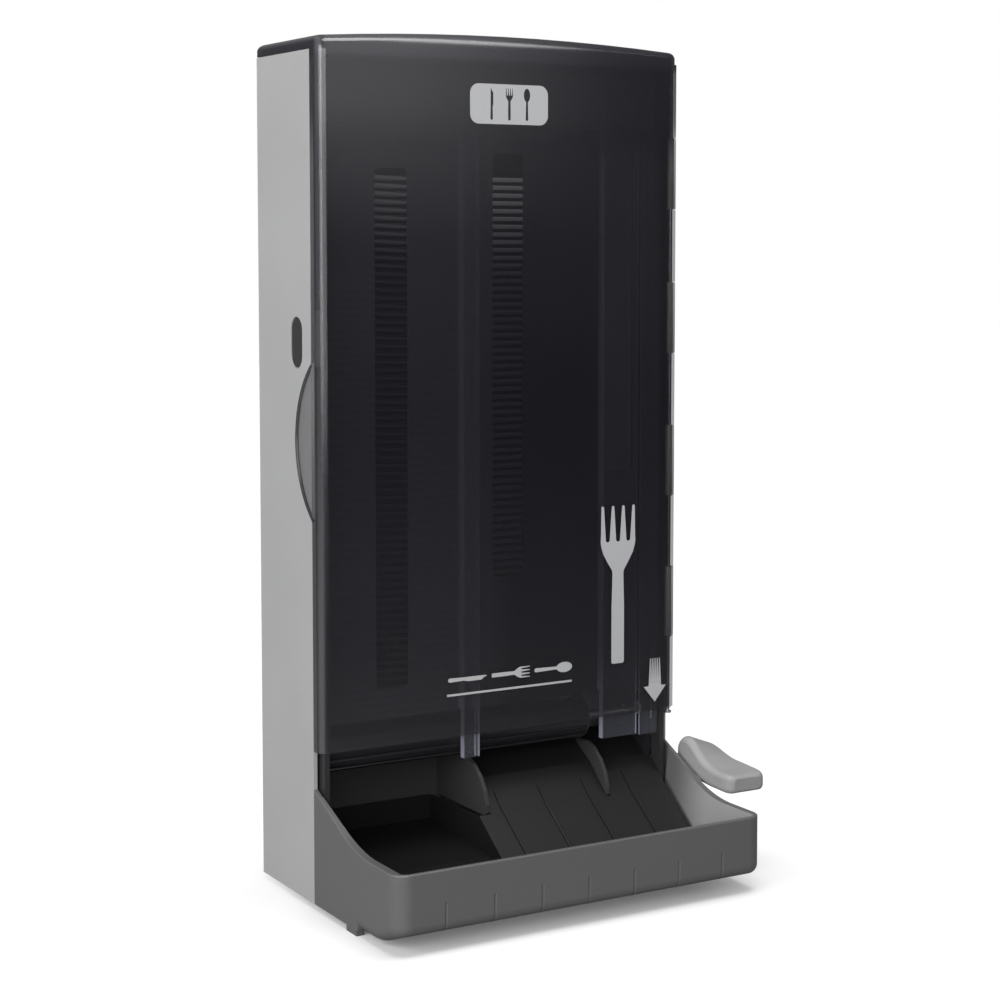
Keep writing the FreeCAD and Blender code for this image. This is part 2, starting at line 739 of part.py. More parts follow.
def make_guide(label, x, front, webs, span, above):
    """A clear guide: a face, with webs back to the panel along the edges that webs names."""
    wall = S.guide_wall
    pads = [("top", rectangle(x, (front - wall, front)), span[0], span[1])]
    for wanted, edge in zip(webs, (x[0], x[1] - wall)):
        if wanted:
            strip = rectangle((edge, edge + wall), (front - 5, front - wall / 2))
            pads.append(("top", strip, span[0], span[1]))
            fin = rectangle((edge, edge + wall), (S.panel_front, front - 4))
            pads.append(("top", fin, above[0], above[1]))
    part(label, body(label, pads))


# ---------------------------------------------------------------- magazine

def make_magazine():
    """The channel that holds the stack, its four stand-offs and two keeper lips."""
    wall = S.magazine_wall
    left, right, back = MAGAZINE_LEFT, MAGAZINE_RIGHT, S.magazine_back
    front = S.panel_front - S.panel_wall
    span = (PANEL_LOW, PANEL_HIGH)
    channel = [block("channel_back", (left, right), (back, back + wall), span),
               block("channel_left", (left, left + wall), (back, front), span),
               block("channel_right", (right - wall, right), (back, front), span)]
    for side, x in enumerate((left + 25, right - 25)):
        channel.append(block("channel_lip_%d" % side, (x - 18, x + 18), (back, back + 8),
                             (FORK_LOW - wall, FORK_LOW)))
        channel.append(block("channel_drop_%d" % side, (x - 18, x + 18), (back, back + wall),
                             (FORK_LOW - wall, PANEL_LOW + 1)))
        for level in (200.0, 480.0):
            channel.append(rod("channel_standoff_%d_%d" % (side, level), "y", (x, back + wall / 2, level),
                               back + wall / 2 - S.case_wall, 5))
    part("magazine_channel", fuse("magazine_channel", channel))


def fork_outline():
    """The closed outline of one fork seen from above: four tines, a neck and a handle."""
    half_head, half_handle = float(S.fork_head) / 2, float(S.fork_handle) / 2
    length = float(S.fork_length)
    tine = float(S.fork_head) / 9
    root, neck = 42.0, 72.0
    points = [(length, -half_handle), (length, half_handle), (neck, half_handle), (root + 8, half_head)]
    for index in range(4):
        high = half_head - index * tine * 8 / 3.0 * 0.94
        points += [(0.0 if index else 2.0, high), (0.0 if index < 3 else 2.0, high - tine)]
        if index < 3:
            points += [(root, high - tine * 1.2), (root, high - tine * 8 / 3.0 * 0.94 + tine * 0.2)]
    points += [(root + 8, -half_head), (neck, -half_handle)]
    return points


def make_forks():
    """The stack of nested forks lying across the magazine, each on the rib of the one below."""
    start = float(MAGAZINE_LEFT + S.magazine_wall) + 0.5
    middle = float(S.magazine_back) + 18.0
    sheet = flat_face([at(start + x, middle + depth, 0) for x, depth in fork_outline()])
    sheet_solid = sheet.extrude(FreeCAD.Vector(0, 0, float(S.fork_wall)))
    rib_rise = float(S.fork_pitch - S.fork_wall)
    rib = Part.makeBox(float(S.fork_length) - 60, 3.0, rib_rise, at(start + 55, middle + 1.5, S.fork_wall))
    fork = sheet_solid.fuse(rib).removeSplitter()
    stack = []
    room = float(PANEL_HIGH - FORK_LOW - S.fork_room)
    for index in range(int(room / float(S.fork_pitch))):
        copy = fork.copy()
        copy.translate(FreeCAD.Vector(0, 0, float(FORK_LOW + S.fork_pitch * index)))
        stack.append(copy)
    part("fork_stack", shaped("fork_stack", Part.makeCompound(stack)))


# ---------------------------------------------------------------- drum and gear train

def make_drum():
    """The dispensing bar with a flat pocket on top and two long grooves, on its shaft."""
    left, length = DRUM_LEFT, DRUM_RIGHT - DRUM_LEFT
    centre = (S.drum_depth, S.drum_height)
    bar = rod("drum_bar", "x", (left, *centre), length, S.drum_radius)
    pocket = block("drum_pocket", (left - 1, DRUM_RIGHT + 1),
                   (S.drum_depth - S.drum_radius, S.drum_depth + S.drum_radius),
                   (S.drum_height + S.drum_radius - 6.7, S.drum_height + S.drum_radius + 1))
    bore = rod("drum_bore", "x", (left - 1, *centre), length + 2, S.shaft_radius)
    grooves = []
    for index, angle in enumerate((-20.0, -50.0)):
        turn = math.radians(angle)
        depth = S.drum_depth + S.drum_radius * math.cos(turn)
        z = S.drum_height + S.drum_radius * math.sin(turn)
        grooves.append(rod("drum_groove_%d" % index, "x", (left - 1, depth, z), length + 2, 1.6))
    part("dispensing_drum", cut("dispensing_drum", bar, [pocket, bore] + grooves))
    disc = rod("end_disc", "x", (DRUM_RIGHT, *centre), 1.5, S.drum_radius - 0.5)
    disc_bore = rod("end_disc_bore", "x", (DRUM_RIGHT - 1, *centre), 4, S.shaft_radius)
    part("drum_end_disc", cut("drum_end_disc", disc, [disc_bore]))
    shaft_end = INSIDE - 1
    part("drum_shaft", rod("drum_shaft", "x", (-shaft_end, *centre), shaft_end * 2, S.shaft_radius))
    hole = S.shaft_radius + S.running_play
    bracket_x = (-INSIDE, DRUM_LEFT - 2.5)
    plate = block("bracket_plate", bracket_x, (S.drum_depth - 14, S.drum_depth + 10),
                  (S.drum_height - 18, S.drum_height + 18))
    wide = bracket_x[1] - bracket_x[0]
    seat = rod("bracket_seat", "x", (-INSIDE - 1, *centre), wide + 2, S.shaft_radius + 2)
    part("drum_bracket_left", cut("drum_bracket_left", plate, [seat]))
    bush = rod("bush_left_ring", "x", (-INSIDE, *centre), wide + 0.8, S.shaft_radius + 2)
    bush_bore = rod("bush_left_bore", "x", (-INSIDE - 1, *centre), 12, hole)
    part("drum_bush_left", cut("drum_bush_left", bush, [bush_bore]))
    bush = rod("bush_right_ring", "x", (PLATE_LEFT - 0.8, *centre), S.plate_wall + 0.8, S.shaft_radius + 2)
    bush_bore = rod("bush_right_bore", "x", (PLATE_LEFT - 3, *centre), 12, hole)
    part("drum_bush_right", cut("drum_bush_right", bush, [bush_bore]))


def make_drive_plate():
    """The plate that carries the gears, on four bosses against the right wall."""
    face = PLATE_LEFT + S.plate_wall
    outline = rectangle((20.0, S.post_back - 2), (20.0, PANEL_LOW - 1))
    plate = body("drive_plate_sheet", [("side", outline, PLATE_LEFT, face)])
    bosses = [rod("plate_boss_%d" % index, "x", (face - 0.5, depth, z), INSIDE - face + 0.5, S.boss_radius)
              for index, (depth, z) in enumerate(boss_places())]
    centre = (S.drum_depth, S.drum_height)
    holes = [rod("plate_screw_hole_%d" % index, "x", (PLATE_LEFT - 1, depth, z), INSIDE - PLATE_LEFT + 2,
                 S.screw_radius + S.screw_play) for index, (depth, z) in enumerate(boss_places())]
    through = S.plate_wall + 2
    holes.append(rod("plate_drum_hole", "x", (PLATE_LEFT - 1, *centre), through, S.shaft_radius + 2))
    holes.append(rod("plate_lever_hole", "x", (PLATE_LEFT - 1, S.lever_depth, S.lever_height), through,
                     S.lever_shaft_radius + S.running_play))
    holes.append(rod("plate_axle_hole", "x", (PLATE_LEFT - 1, *idler_centre()), through, S.axle_radius))
    part("drive_plate", cut("drive_plate", fuse("drive_plate_solid", [plate] + bosses), holes))


def pitch_radius(teeth):
    """Half a gear's pitch diameter."""
    return float(S.gear_module) * float(teeth) / 2


def idler_centre():
    """Depth and height of the idler: in mesh with both the lever's sector and the drum's pinion."""
    to_lever = pitch_radius(S.sector_teeth) + pitch_radius(S.idler_teeth)
    to_drum = pitch_radius(S.pinion_teeth) + pitch_radius(S.idler_teeth)
    ahead = float(S.drum_depth - S.lever_depth)
    above = float(S.drum_height - S.lever_height)
    span = math.hypot(ahead, above)
    along = (to_lever ** 2 - to_drum ** 2 + span ** 2) / (2 * span)
    off = math.sqrt(to_lever ** 2 - along ** 2)
    return (float(S.lever_depth) + (ahead * along - above * off) / span,
            float(S.lever_height) + (above * along + ahead * off) / span)


def involute(base, reach, turn, side):
    """A point of an involute flank at a distance from the gear's centre."""
    roll = math.sqrt(max((reach / base) ** 2 - 1, 0.0))
    angle = turn + side * (roll - math.atan(roll))
    return FreeCAD.Vector(0, reach * math.cos(angle), reach * math.sin(angle))


def gear_teeth(teeth, wanted, phase):
    """The wires of single teeth in the YZ plane, tooth zero centred on the angle phase."""
    module, pitch = float(S.gear_module), pitch_radius(teeth)
    base = pitch * math.cos(math.radians(20))
    root, tip = pitch - 1.25 * module, pitch + 0.95 * module
    start = max(base, root)
    roll = math.tan(math.radians(20)) - math.radians(20)
    half = math.pi / 2 / float(teeth) - float(S.tooth_play) / 2 / pitch + roll
    faces = []
    for index in wanted:
        centre = phase + index * 2 * math.pi / float(teeth)
        flanks = []
        for side in (1, -1):
            turn = centre + side * half
            reaches = (start, (start + tip) / 2, tip)
            flanks.append([involute(base, reach, turn, -side) for reach in reaches])
            foot = FreeCAD.Vector(0, (root - 0.6) * math.cos(turn), (root - 0.6) * math.sin(turn))
            flanks[-1].insert(0, foot)
        high, low = flanks
        middle = FreeCAD.Vector(0, tip * math.cos(centre), tip * math.sin(centre))
        edges = [Part.LineSegment(high[0], high[1]).toShape(), Part.Arc(high[1], high[2], high[3]).toShape(),
                 Part.Arc(high[3], middle, low[3]).toShape(), Part.Arc(low[3], low[2], low[1]).toShape(),
                 Part.LineSegment(low[1], low[0]).toShape(), Part.LineSegment(low[0], high[0]).toShape()]
        faces.append(Part.Face(Part.Wire(edges)))
    return faces, root


def gear(teeth, wanted, phase, centre, left, width):
    """Extruded teeth on a root disc, around an axis along X at centre = (depth, height)."""
    faces, root = gear_teeth(teeth, wanted, phase)
    solids = [face.extrude(FreeCAD.Vector(float(width), 0, 0)) for face in faces]
    disc = Part.makeCylinder(root, float(width), FreeCAD.Vector(), ACROSS)
    return solids, disc, at(left, *centre)


def angle_between(start, end):
    """The direction in the YZ plane from one (depth, height) to another, in radians from +Y."""
    return math.atan2(float(end[1]) - float(start[1]), float(start[0]) - float(end[0]))


def make_gears():
    """Sector, idler and pinion, all in mesh at rest."""
    lever, drum, idler = (S.lever_depth, S.lever_height), (S.drum_depth, S.drum_height), idler_centre()
    width, left = S.gear_width, GEAR_LEFT
    to_idler = angle_between(lever, idler)
    step = 2 * math.pi / float(S.idler_teeth)
    idler_phase = to_idler + math.pi + step / 2
    solids, disc, spot = gear(S.idler_teeth, range(int(S.idler_teeth)), idler_phase, idler, left, width)
    wheel = disc.fuse(solids).removeSplitter()
    wheel = wheel.cut(Part.makeCylinder(float(S.axle_radius + S.running_play), 20, FreeCAD.Vector(-5, 0, 0),
                                        FreeCAD.Vector(1, 0, 0)))
    part("idler_gear", shaped("idler_gear", wheel, spot))
    to_drum = angle_between(idler, drum)
    ahead = (idler_phase - to_drum) % step
    pinion_step = 2 * math.pi / float(S.pinion_teeth)
    pinion_phase = to_drum + math.pi + pinion_step / 2 - ahead * float(S.idler_teeth) / float(S.pinion_teeth)
    solids, disc, spot = gear(S.pinion_teeth, range(int(S.pinion_teeth)), pinion_phase, drum, left, width)
    wheel = disc.fuse(solids).removeSplitter()
    wheel = wheel.cut(Part.makeCylinder(float(S.shaft_radius), 20, FreeCAD.Vector(-5, 0, 0), ACROSS))
    part("drum_pinion", shaped("drum_pinion", wheel, spot))
    make_sector(lever, to_idler)
    axle = rod("idler_axle", "x", (PLATE_LEFT, *idler), INSIDE - PLATE_LEFT, S.axle_radius)
    part("idler_axle", axle)


def make_sector(lever, to_idler):
    """The part of a large gear that the lever swings: a hub, two spokes' web and a toothed rim."""
    teeth = int(S.sector_teeth)
    solids, disc, spot = gear(teeth, range(-5, 2), to_idler, lever, GEAR_LEFT, S.gear_width)
    step = 2 * math.pi / teeth
    low, high = to_idler - 5.6 * step, to_idler + 1.6 * step
    far = 2 * pitch_radius(teeth)
    corners = [FreeCAD.Vector(0, 0, 0)]
    for turn in (low, (low + high) / 2, high):
        corners.append(FreeCAD.Vector(0, far * math.cos(turn), far * math.sin(turn)))
    wedge = flat_face(corners).extrude(ACROSS * float(S.gear_width))
    hub = Part.makeCylinder(8.0, float(S.gear_width), FreeCAD.Vector(), ACROSS)
    bore = Part.makeCylinder(float(S.lever_shaft_radius), 20, FreeCAD.Vector(-5, 0, 0), ACROSS)
    wheel = disc.common(wedge).fuse(solids + [hub]).cut(bore).removeSplitter()
    part("sector_gear", shaped("sector_gear", wheel, spot))


# ---------------------------------------------------------------- lever

def make_lever_shaft():
    """The lever's shaft with its bush, clip and return spring."""
    centre = (S.lever_depth, S.lever_height)
    start, end = PLATE_LEFT - 19, LEVER_LEFT + S.hub_length
    part("lever_shaft", rod("lever_shaft", "x", (start, *centre), end - start, S.lever_shaft_radius))
    ring = rod("lever_bush_ring", "x", (INSIDE, *centre), S.case_wall + 1, S.bush_radius)
    flange = rod("lever_bush_flange", "x", (INSIDE - 1.8, *centre), 1.8, S.bush_radius + 2)
    bore = rod("lever_bush_bore", "x", (INSIDE - 6, *centre), 20, S.lever_shaft_radius + S.running_play)
    part("lever_bush", cut("lever_bush", fuse("lever_bush_solid", [ring, flange]), [bore]))
    clip = rod("shaft_clip_ring", "x", (start + 0.4, *centre), 1.2, S.lever_shaft_radius + 3)
    clip_bore = rod("shaft_clip_bore", "x", (start - 1, *centre), 4, S.lever_shaft_radius)
    part("shaft_clip", cut("shaft_clip", clip, [clip_bore]))
    spring = coil(float(S.spring_radius), float(S.spring_wire) / 2, 12.5, 6)
    part("return_spring", shaped("return_spring", spring, at(PLATE_LEFT - 14.2, *centre), TURNS["x"]))
    face = end
    washer = rod("lever_washer_ring", "x", (face, *centre), 1.0, 7.5)
    washer_bore = rod("lever_washer_bore", "x", (face - 1, *centre), 4, 2.1)
    part("lever_washer", cut("lever_washer", washer, [washer_bore]))
    head = rod("lever_screw_head", "x", (face + 1, *centre), 2.2, 4.2)
    part("lever_screw", head)


def rounded_section(left, right, low, inner, outer, depth, corner):
    """A four-cornered wire across the lever's pad, its corners rounded."""
    corners = [(left, low), (right, low), (right, outer), (left, inner)]
    y = float(S.seat_depth) - depth
    edges = []
    ends = []
    for index in range(4):
        point = FreeCAD.Vector(corners[index][0], y, corners[index][1])
        before = FreeCAD.Vector(corners[index - 1][0], y, corners[index - 1][1])
        after = FreeCAD.Vector(corners[(index + 1) % 4][0], y, corners[(index + 1) % 4][1])
        toward, away = (before - point).normalize(), (after - point).normalize()
        first, last = point + toward * corner, point + away * corner
        middle = (point + (toward + away) * corner * 0.293)
        ends.append((first, middle, last))
    for index in range(4):
        first, middle, last = ends[index]
        edges.append(Part.Arc(first, middle, last).toShape())
        edges.append(Part.LineSegment(last, ends[(index + 1) % 4][0]).toShape())
    return Part.Wire(edges)


PAD_SECTIONS = (
    # behind the pad's front; left and right side, in from its outer edge; heights of the
    # underside and of the top's inner and outer edges; corner
    (73.0, 30.5, 15.0, 63.0, 76.5, 75.0, 4.5),
    (68.0, 35.0, 5.0, 60.0, 86.5, 78.5, 7.0),
    (58.0, 36.5, 1.5, 58.0, 91.0, 77.0, 8.0),
    (45.0, 36.8, 0.5, 57.0, 84.0, 73.2, 7.0),
    (34.0, 36.8, 0.0, 56.6, 75.6, 71.6, 5.5),
    (22.0, 36.8, 0.0, 56.2, 71.4, 71.0, 4.5),
    (10.0, 36.5, 0.2, 55.8, 70.2, 70.2, 4.0),
    (3.0, 34.5, 1.8, 55.8, 69.6, 69.2, 4.0),
    (0.0, 30.5, 5.5, 58.0, 67.2, 66.8, 3.0),
)


def make_lever():
    """The hand lever outside the right wall: a hub on the shaft, an arm and a shaped pad."""
    edge, front = float(LEVER_RIGHT), float(S.lever_front)
    sections = [rounded_section(edge - left, edge - right, low, inner, outer, front - behind, corner)
                for behind, left, right, low, inner, outer, corner in PAD_SECTIONS]
    pad = Part.makeLoft(sections, True, False)
    centre = (S.lever_depth, S.lever_height)
    x, length = float(LEVER_LEFT), float(S.hub_length)
    hub = Part.makeCylinder(float(S.hub_radius), length, at(x, *centre), ACROSS)
    arm_outline = [(S.lever_depth + 2, S.lever_height - 9), (front - 36, 58.5), (front - 36, 60.5),
                   (front - 50, 65.0), (front - 70, 73.5), (S.lever_depth - 4, S.lever_height + 9)]
    arm = side_face(x, arm_outline).extrude(ACROSS * float(S.lever_arm))
    bore = Part.makeCylinder(float(S.lever_shaft_radius), length, at(x, *centre), ACROSS)
    lever = pad.fuse([arm, hub]).cut(bore).removeSplitter()
    part("press_lever", shaped("press_lever", lever))


# ---------------------------------------------------------------- tray

TOE_LENGTH = 55.0    # the lower part of the underside, back from the tray's front
RISE_LENGTH = 30.4   # the sloping part of the underside, back from the tray's front
BEND_REACH = 8.0     # how far each side of the underside's bend its arc starts
TALL = 120.0         # above every edge of the tray


def tray_top(back):
    """The tray's edge seen from the side: the lip, a gentle arc and a straight rise to the back."""
    radius, angle = float(S.sweep_radius), math.radians(float(S.sweep_angle))
    depth, lip = float(S.sweep_front), float(S.tray_lip)
    bend = [at(0, depth - radius * math.sin(turn), lip + radius * (1 - math.cos(turn)))
            for turn in (0.0, angle / 2, angle)]
    foot = bend[2]
    reach = float(S.seat_depth) - foot.y - back
    return bend + [FreeCAD.Vector(0, float(S.seat_depth) - back, foot.z + reach * math.tan(angle))]


def profile_edges(corners, bend=None):
    """Straight edges through (depth, height) corners; the corner numbered bend becomes an arc."""
    points = [at(0, depth, z) for depth, z in corners]
    edges = []
    start = points[0]
    for index in range(1, len(points)):
        end = points[index]
        if index == bend:
            before, after = (points[index - 1] - end).normalize(), (points[index + 1] - end).normalize()
            first, last = end + before * BEND_REACH, end + after * BEND_REACH
            opening = (math.pi - before.getAngle(after)) / 2
            sag = BEND_REACH * math.tan(opening / 2)
            middle = (first + last) / 2 + (end - (first + last) / 2).normalize() * sag
            edges += [Part.LineSegment(start, first).toShape(), Part.Arc(first, middle, last).toShape()]
            start = last
        else:
            edges.append(Part.LineSegment(start, end).toShape())
            start = end
    return edges


def tray_solid(half, back, front, under, bend, corner):
    """An outer or inner tray form: the side profile drawn across X with rounded front corners."""
    tangent, middle, foot, top = tray_top(back)
    lip_front = at(0, front, S.tray_lip)
    low_back, low_front = at(0, *under[0]), at(0, *under[-1])
    edges = [Part.LineSegment(lip_front, tangent).toShape(), Part.Arc(tangent, middle, foot).toShape(),
             Part.LineSegment(foot, top).toShape(), Part.LineSegment(top, low_back).toShape()]
    edges += profile_edges(under, bend)
    edges.append(Part.LineSegment(low_front, lip_front).toShape())
    face = Part.Face(Part.Wire(edges))
    face.translate(FreeCAD.Vector(-half, 0, 0))
    solid = face.extrude(FreeCAD.Vector(half * 2, 0, 0))
    plan = Part.makeBox(half * 2, front - back, 200.0, at(-half, front, -20))
    upright = [e for e in plan.Edges if abs(e.CenterOfMass.y - (float(S.seat_depth) - front)) < 1e-3
               and abs(abs(e.CenterOfMass.x) - half) < 1e-3 and e.BoundBox.ZLength > 1]
    return solid.common(plan.makeFillet(corner, upright))


def rim_edges(solid, half, front):
    """The edges round a tray form's outside, at the lip and at the raised part of the underside."""
    rims = {"lip": [], "foot": []}
    front_y = float(S.seat_depth) - front
    for edge in solid.Edges:
        box = edge.BoundBox
        crosses = box.XLength > half and box.YMin > front_y + 1
        upright = box.XLength < 1e-3 and box.YLength < 1e-3
        if crosses or upright:
            continue
        if box.ZMin > float(S.tray_lip) - 1e-3:
            rims["lip"].append(edge)
        elif box.ZMax < float(S.tray_rise) + 1e-3 and edge.CenterOfMass.y < front_y + TOE_LENGTH:
            rims["foot"].append(edge)
    return rims


def make_tray():
    """The base tray: an open-backed tub with a curved side edge and a raised underside at the front."""
    half, wall = float(HALF), float(S.tray_wall)
    back, front = float(S.tray_back), float(S.tray_front)
    low, rise = float(S.tray_low), float(S.tray_rise)
    toe = front - TOE_LENGTH
    under = [(back, low), (toe, low), (toe, 0.0), (front - RISE_LENGTH, 0.0), (front, rise)]
    outer = tray_solid(half, back, front, under, 3, float(S.tray_corner))
    outer = outer.makeFillet(float(S.tray_round), rim_edges(outer, half, front)["foot"])
    outer = outer.makeFillet(float(S.lip_round), rim_edges(outer, half, front)["lip"])
    inner_back, floor = back - 5, low + wall
    inside = [(inner_back, floor), (front - 32, floor), (front - 12, 13.0), (front - 6.5, 16.2),
              (front - wall, 22.0)]
    inner = tray_solid(half - wall, inner_back, front - wall, inside, None, float(S.tray_corner) - wall)
    mouth = slab((wall - half, half - wall), (inner_back, front - wall - 8), (S.tray_lip - 3, TALL))
    inner = inner.fuse(mouth)
    tub = outer.cut(inner.common(drafted_room(half - wall, inner_back)))
    open_floor = slab((wall - half, half - wall), (inner_back, back + 10.5), (-9, floor + 1))
    tub = tub.cut([open_floor] + cradle_flank_solids(S.overrun) + finger_marks(front, rise))
    part("tray_shell", shaped("tray_shell", tub.removeSplitter()))


def drafted_room(half, back):
    """A wide wedge whose sides lean inwards towards the floor, with straight sides at the back."""
    lean = math.tan(math.radians(float(S.tray_draft)))
    shoulder = float(S.tray_lip) + 30.0
    low, high = half - lean * shoulder, half + lean * (TALL - shoulder)
    wedge = flat_face([at(-low, back, 0), at(low, back, 0), at(high, back, TALL), at(-high, back, TALL)])
    wedge = wedge.extrude(FreeCAD.Vector(0, -float(S.tray_front), 0))
    return wedge.fuse(slab((-half, half), (back, S.tray_back + 8.1), (-9, TALL)))


def finger_marks(front, rise):
    """Shallow grooves down the tray's front and round its lower edge, evenly spaced."""
    bend = float(S.tray_round)
    slope = math.atan2(rise, RISE_LENGTH)
    centre = (front - bend, rise + bend * math.tan((math.pi / 2 - slope) / 2))
    reach = bend + float(S.grip_proud)
    turns = (0.0, -(math.pi / 2 - slope) / 2, slope - math.pi / 2)
    bends = [at(0, centre[0] + reach * math.cos(turn), centre[1] + reach * math.sin(turn)) for turn in turns]
    top = at(0, front + float(S.grip_proud), S.grip_high)
    tail = bends[2] + FreeCAD.Vector(0, math.cos(slope), -math.sin(slope)) * 12.0
    path = Part.Wire([Part.LineSegment(top, bends[0]).toShape(), Part.Arc(*bends).toShape(),
                      Part.LineSegment(bends[2], tail).toShape()])
    rim = Part.Wire(Part.makeCircle(float(S.grip_radius), top, FreeCAD.Vector(0, 0, 1)))
    groove = path.makePipe(Part.Face(rim)).fuse(Part.makeSphere(float(S.grip_radius), top))
    marks = []
    for index in range(7):
        mark = groove.copy()
        mark.translate(FreeCAD.Vector(float(S.grip_pitch) * (index - 3), 0, 0))
        marks.append(mark)
    return marks


def cradle_flank_solids(outside):
    """The two wedge-shaped side plates, each reaching a distance outside the tray's side."""
    wedges = []
    rear, front = S.case_depth, S.cradle_depth
    outline = [(rear, -1.0), (rear, 48.6), (rear + 2, 47.4), (rear + 9.6, 42.8), (front - 3, 8.4),
               (front, S.tray_low), (front, -1.0)]
    for side in (-1, 1):
        inner = float(HALF - S.cradle_flank)
        near, far = (inner, inner + float(S.cradle_flank) + float(outside))
        start = near if side > 0 else -far
        wedges.append(side_face(start, outline).extrude(FreeCAD.Vector(far - near, 0, 0)))
    return wedges


WIDE = float(S.case_width)   # beyond either side of the tray


def make_cradle():
    """The plate under the tray with a raised rear flange, wedge sides and front feet."""
    low, step = S.tray_low, S.case_wall
    rear = S.case_depth - 20
    inner = HALF - S.cradle_flank
    profile = [(rear, step), (S.case_depth, step), (S.case_depth, 0.0), (S.cradle_depth, 0.0),
               (S.cradle_depth, low), (S.case_depth + 10, low), (S.case_depth + 10, step + 2.8),
               (rear, step + 2.8)]
    plate = body("cradle_plate", [("side", profile, -INSIDE + 1, INSIDE - 1)])
    shelf = block("cradle_shelf", (-inner - 0.1, inner + 0.1), (S.tray_back, S.cradle_depth), (0.0, low))
    wedges = []
    for side, solid in zip((-1, 1), cradle_flank_solids(0)):
        behind = slab((-WIDE, WIDE), (-9, S.tray_back), (-9, WIDE))
        clear = solid.cut([behind, slab((-WIDE, WIDE), (0, WIDE), (-9, 0))])
        wedges.append(shaped("cradle_wedge_%d" % side, clear))
    foot_depths = (S.cradle_depth - 18, S.cradle_depth - 2)
    feet = [block("cradle_foot_%d" % side, (x, x + 6), foot_depths, (-S.foot_drop, 0.5))
            for side, x in ((-1, -HALF), (1, HALF - 6))]
    bore = S.screw_radius + S.screw_play
    holes = [rod("cradle_hole_%d" % index, "z", (x, CRADLE_SCREW_DEPTH, step - 1), 6, bore)
             for index, x in enumerate(CRADLE_SCREW_X)]
    part("base_cradle", cut("base_cradle", fuse("cradle_solid", [plate, shelf] + wedges + feet), holes))
    pads = []
    for index, (x, depth) in enumerate(rear_foot_places()):
        pads.append(block("rear_foot_%d" % index, x, depth, (-S.foot_drop, S.case_wall)))
        pads.append(block("rear_foot_collar_%d" % index, (x[0] - 2, x[1] + 2), (depth[0] - 2, depth[1] + 2),
                          (S.case_wall, S.case_wall + 1.5)))
    part("rear_feet", fuse("rear_feet", pads))


def rear_foot_places():
    """The X span and depths of each rubber foot, which is pushed in through the housing's floor."""
    reach = HALF - S.foot_inset
    depths = (S.foot_back, S.foot_front)
    return [((x - S.foot_width / 2, x + S.foot_width / 2), depths) for x in (-reach, reach)]


LINER_TOE = (S.tray_front - 32, 8.5)
LINER_TIP = (S.tray_front - 12, 15.5)
RAMP_TOP = ((52.0, 91.5), (84.0, 73.2), (107.6, 52.0), (168.9, 8.5), LINER_TOE, LINER_TIP)
RIDGE_LINE = ((95.0, 63.3), (107.6, 52.0), (160.0, 14.8))
BIN_TOP = ((30.0, 32.0), (S.bin_knee, 25.0), LINER_TOE, LINER_TIP)


def sheet_outline(top, wall):
    """A bent sheet's outline: its top line and the same line a wall lower."""
    return list(top) + [(depth, z - wall) for depth, z in reversed(top)]


def make_liner():
    """The black insert: a deep bin on the left, a ramp on the right and the wall between them."""
    wall = S.liner_wall
    ramp = ("side", sheet_outline(RAMP_TOP, wall), S.bin_right - 2, RAMP_RIGHT)
    bin_floor = ("side", sheet_outline(BIN_TOP, wall), BIN_LEFT, S.bin_right)
    divider_outline = [(30.0, 29.6), (30.0, 50.0), (52.0, 91.4)] + list(RAMP_TOP[1:5])
    divider_outline += [(LINER_TOE[0], 6.4), (S.bin_knee, 22.6)]
    divider = ("side", divider_outline, S.bin_right - 2, S.bin_right)
    back = ("side", rectangle((30.0, 32.0), (29.6, 50.0)), 6 - INSIDE, S.bin_right)
    wing_outline = [(30.0, 31.9), (98.0, 27.0), (98.0, 24.4), (30.0, 29.6)]
    wing = ("side", wing_outline, 3 - INSIDE, BIN_LEFT + 1)
    wing_wall = ("side", [(30.0, 29.6), (30.0, 47.0), (98.0, 47.0), (98.0, 24.4)], 3 - INSIDE, 5 - INSIDE)
    liner = body("liner_sheets", [ramp, bin_floor, divider, back, wing, wing_wall])
    gap = S.fin_gap
    notch = (S.bin_right - 3, S.fin_left + S.fin_wall + gap)
    slot = (S.fin_right - gap, S.fin_right + S.fin_wall + gap)
    tools = [block("liner_fin_notch", notch, (20.0, 108.5), (49.6, 99.0)),
             block("liner_fin_slot", slot, (20.0, 108.5), (49.6, 99.0)),
             block("liner_plate_room", (PLATE_LEFT - gap, RAMP_RIGHT + 9), (20.0, S.post_back - 1),
                   (20.0, 99.0))]
    trimmed = cut("liner_trimmed", liner, tools)
    crest = [(depth, z + 1.2) for depth, z in RIDGE_LINE]
    outline = crest + [(162.0, 13.0), (107.6, 51.6), (93.5, 64.2)]
    ridges = [body("liner_ridge_%d" % index, [("side", outline, x, x + 2)])
              for index, x in enumerate((-7.0, 31.0, 70.0, 108.0))]
    part("tray_liner", fuse("tray_liner", [trimmed] + ridges))


FIN_OUTLINE = ((29.7, 50.0), (104.0, 50.0), (107.5, 52.0), (107.3, 58.0), (104.0, 68.0), (97.0, 77.6),
               (87.0, 85.2), (79.0, 88.0), (29.7, 88.0))


def make_chute():
    """The back plate behind the drum with two curved fins that guide what drops."""
    back, front = S.chute_back, S.chute_back + 3
    top = S.drum_height + S.drum_radius
    plate = ("side", rectangle((back, front), (45.0, top)), -INSIDE, S.fin_right + 6)
    fins = [("side", FIN_OUTLINE, x, x + S.fin_wall) for x in (S.fin_left, S.fin_right)]
    rib = rectangle((S.case_wall, back + 1), (S.rib_low, top - 5))
    ribs = [("side", rib, x, x + 3.0) for x in (-120.0, -40.0, 40.0)]
    part("chute_frame", body("chute_frame", [plate] + fins + ribs))


# ---------------------------------------------------------------- fasteners

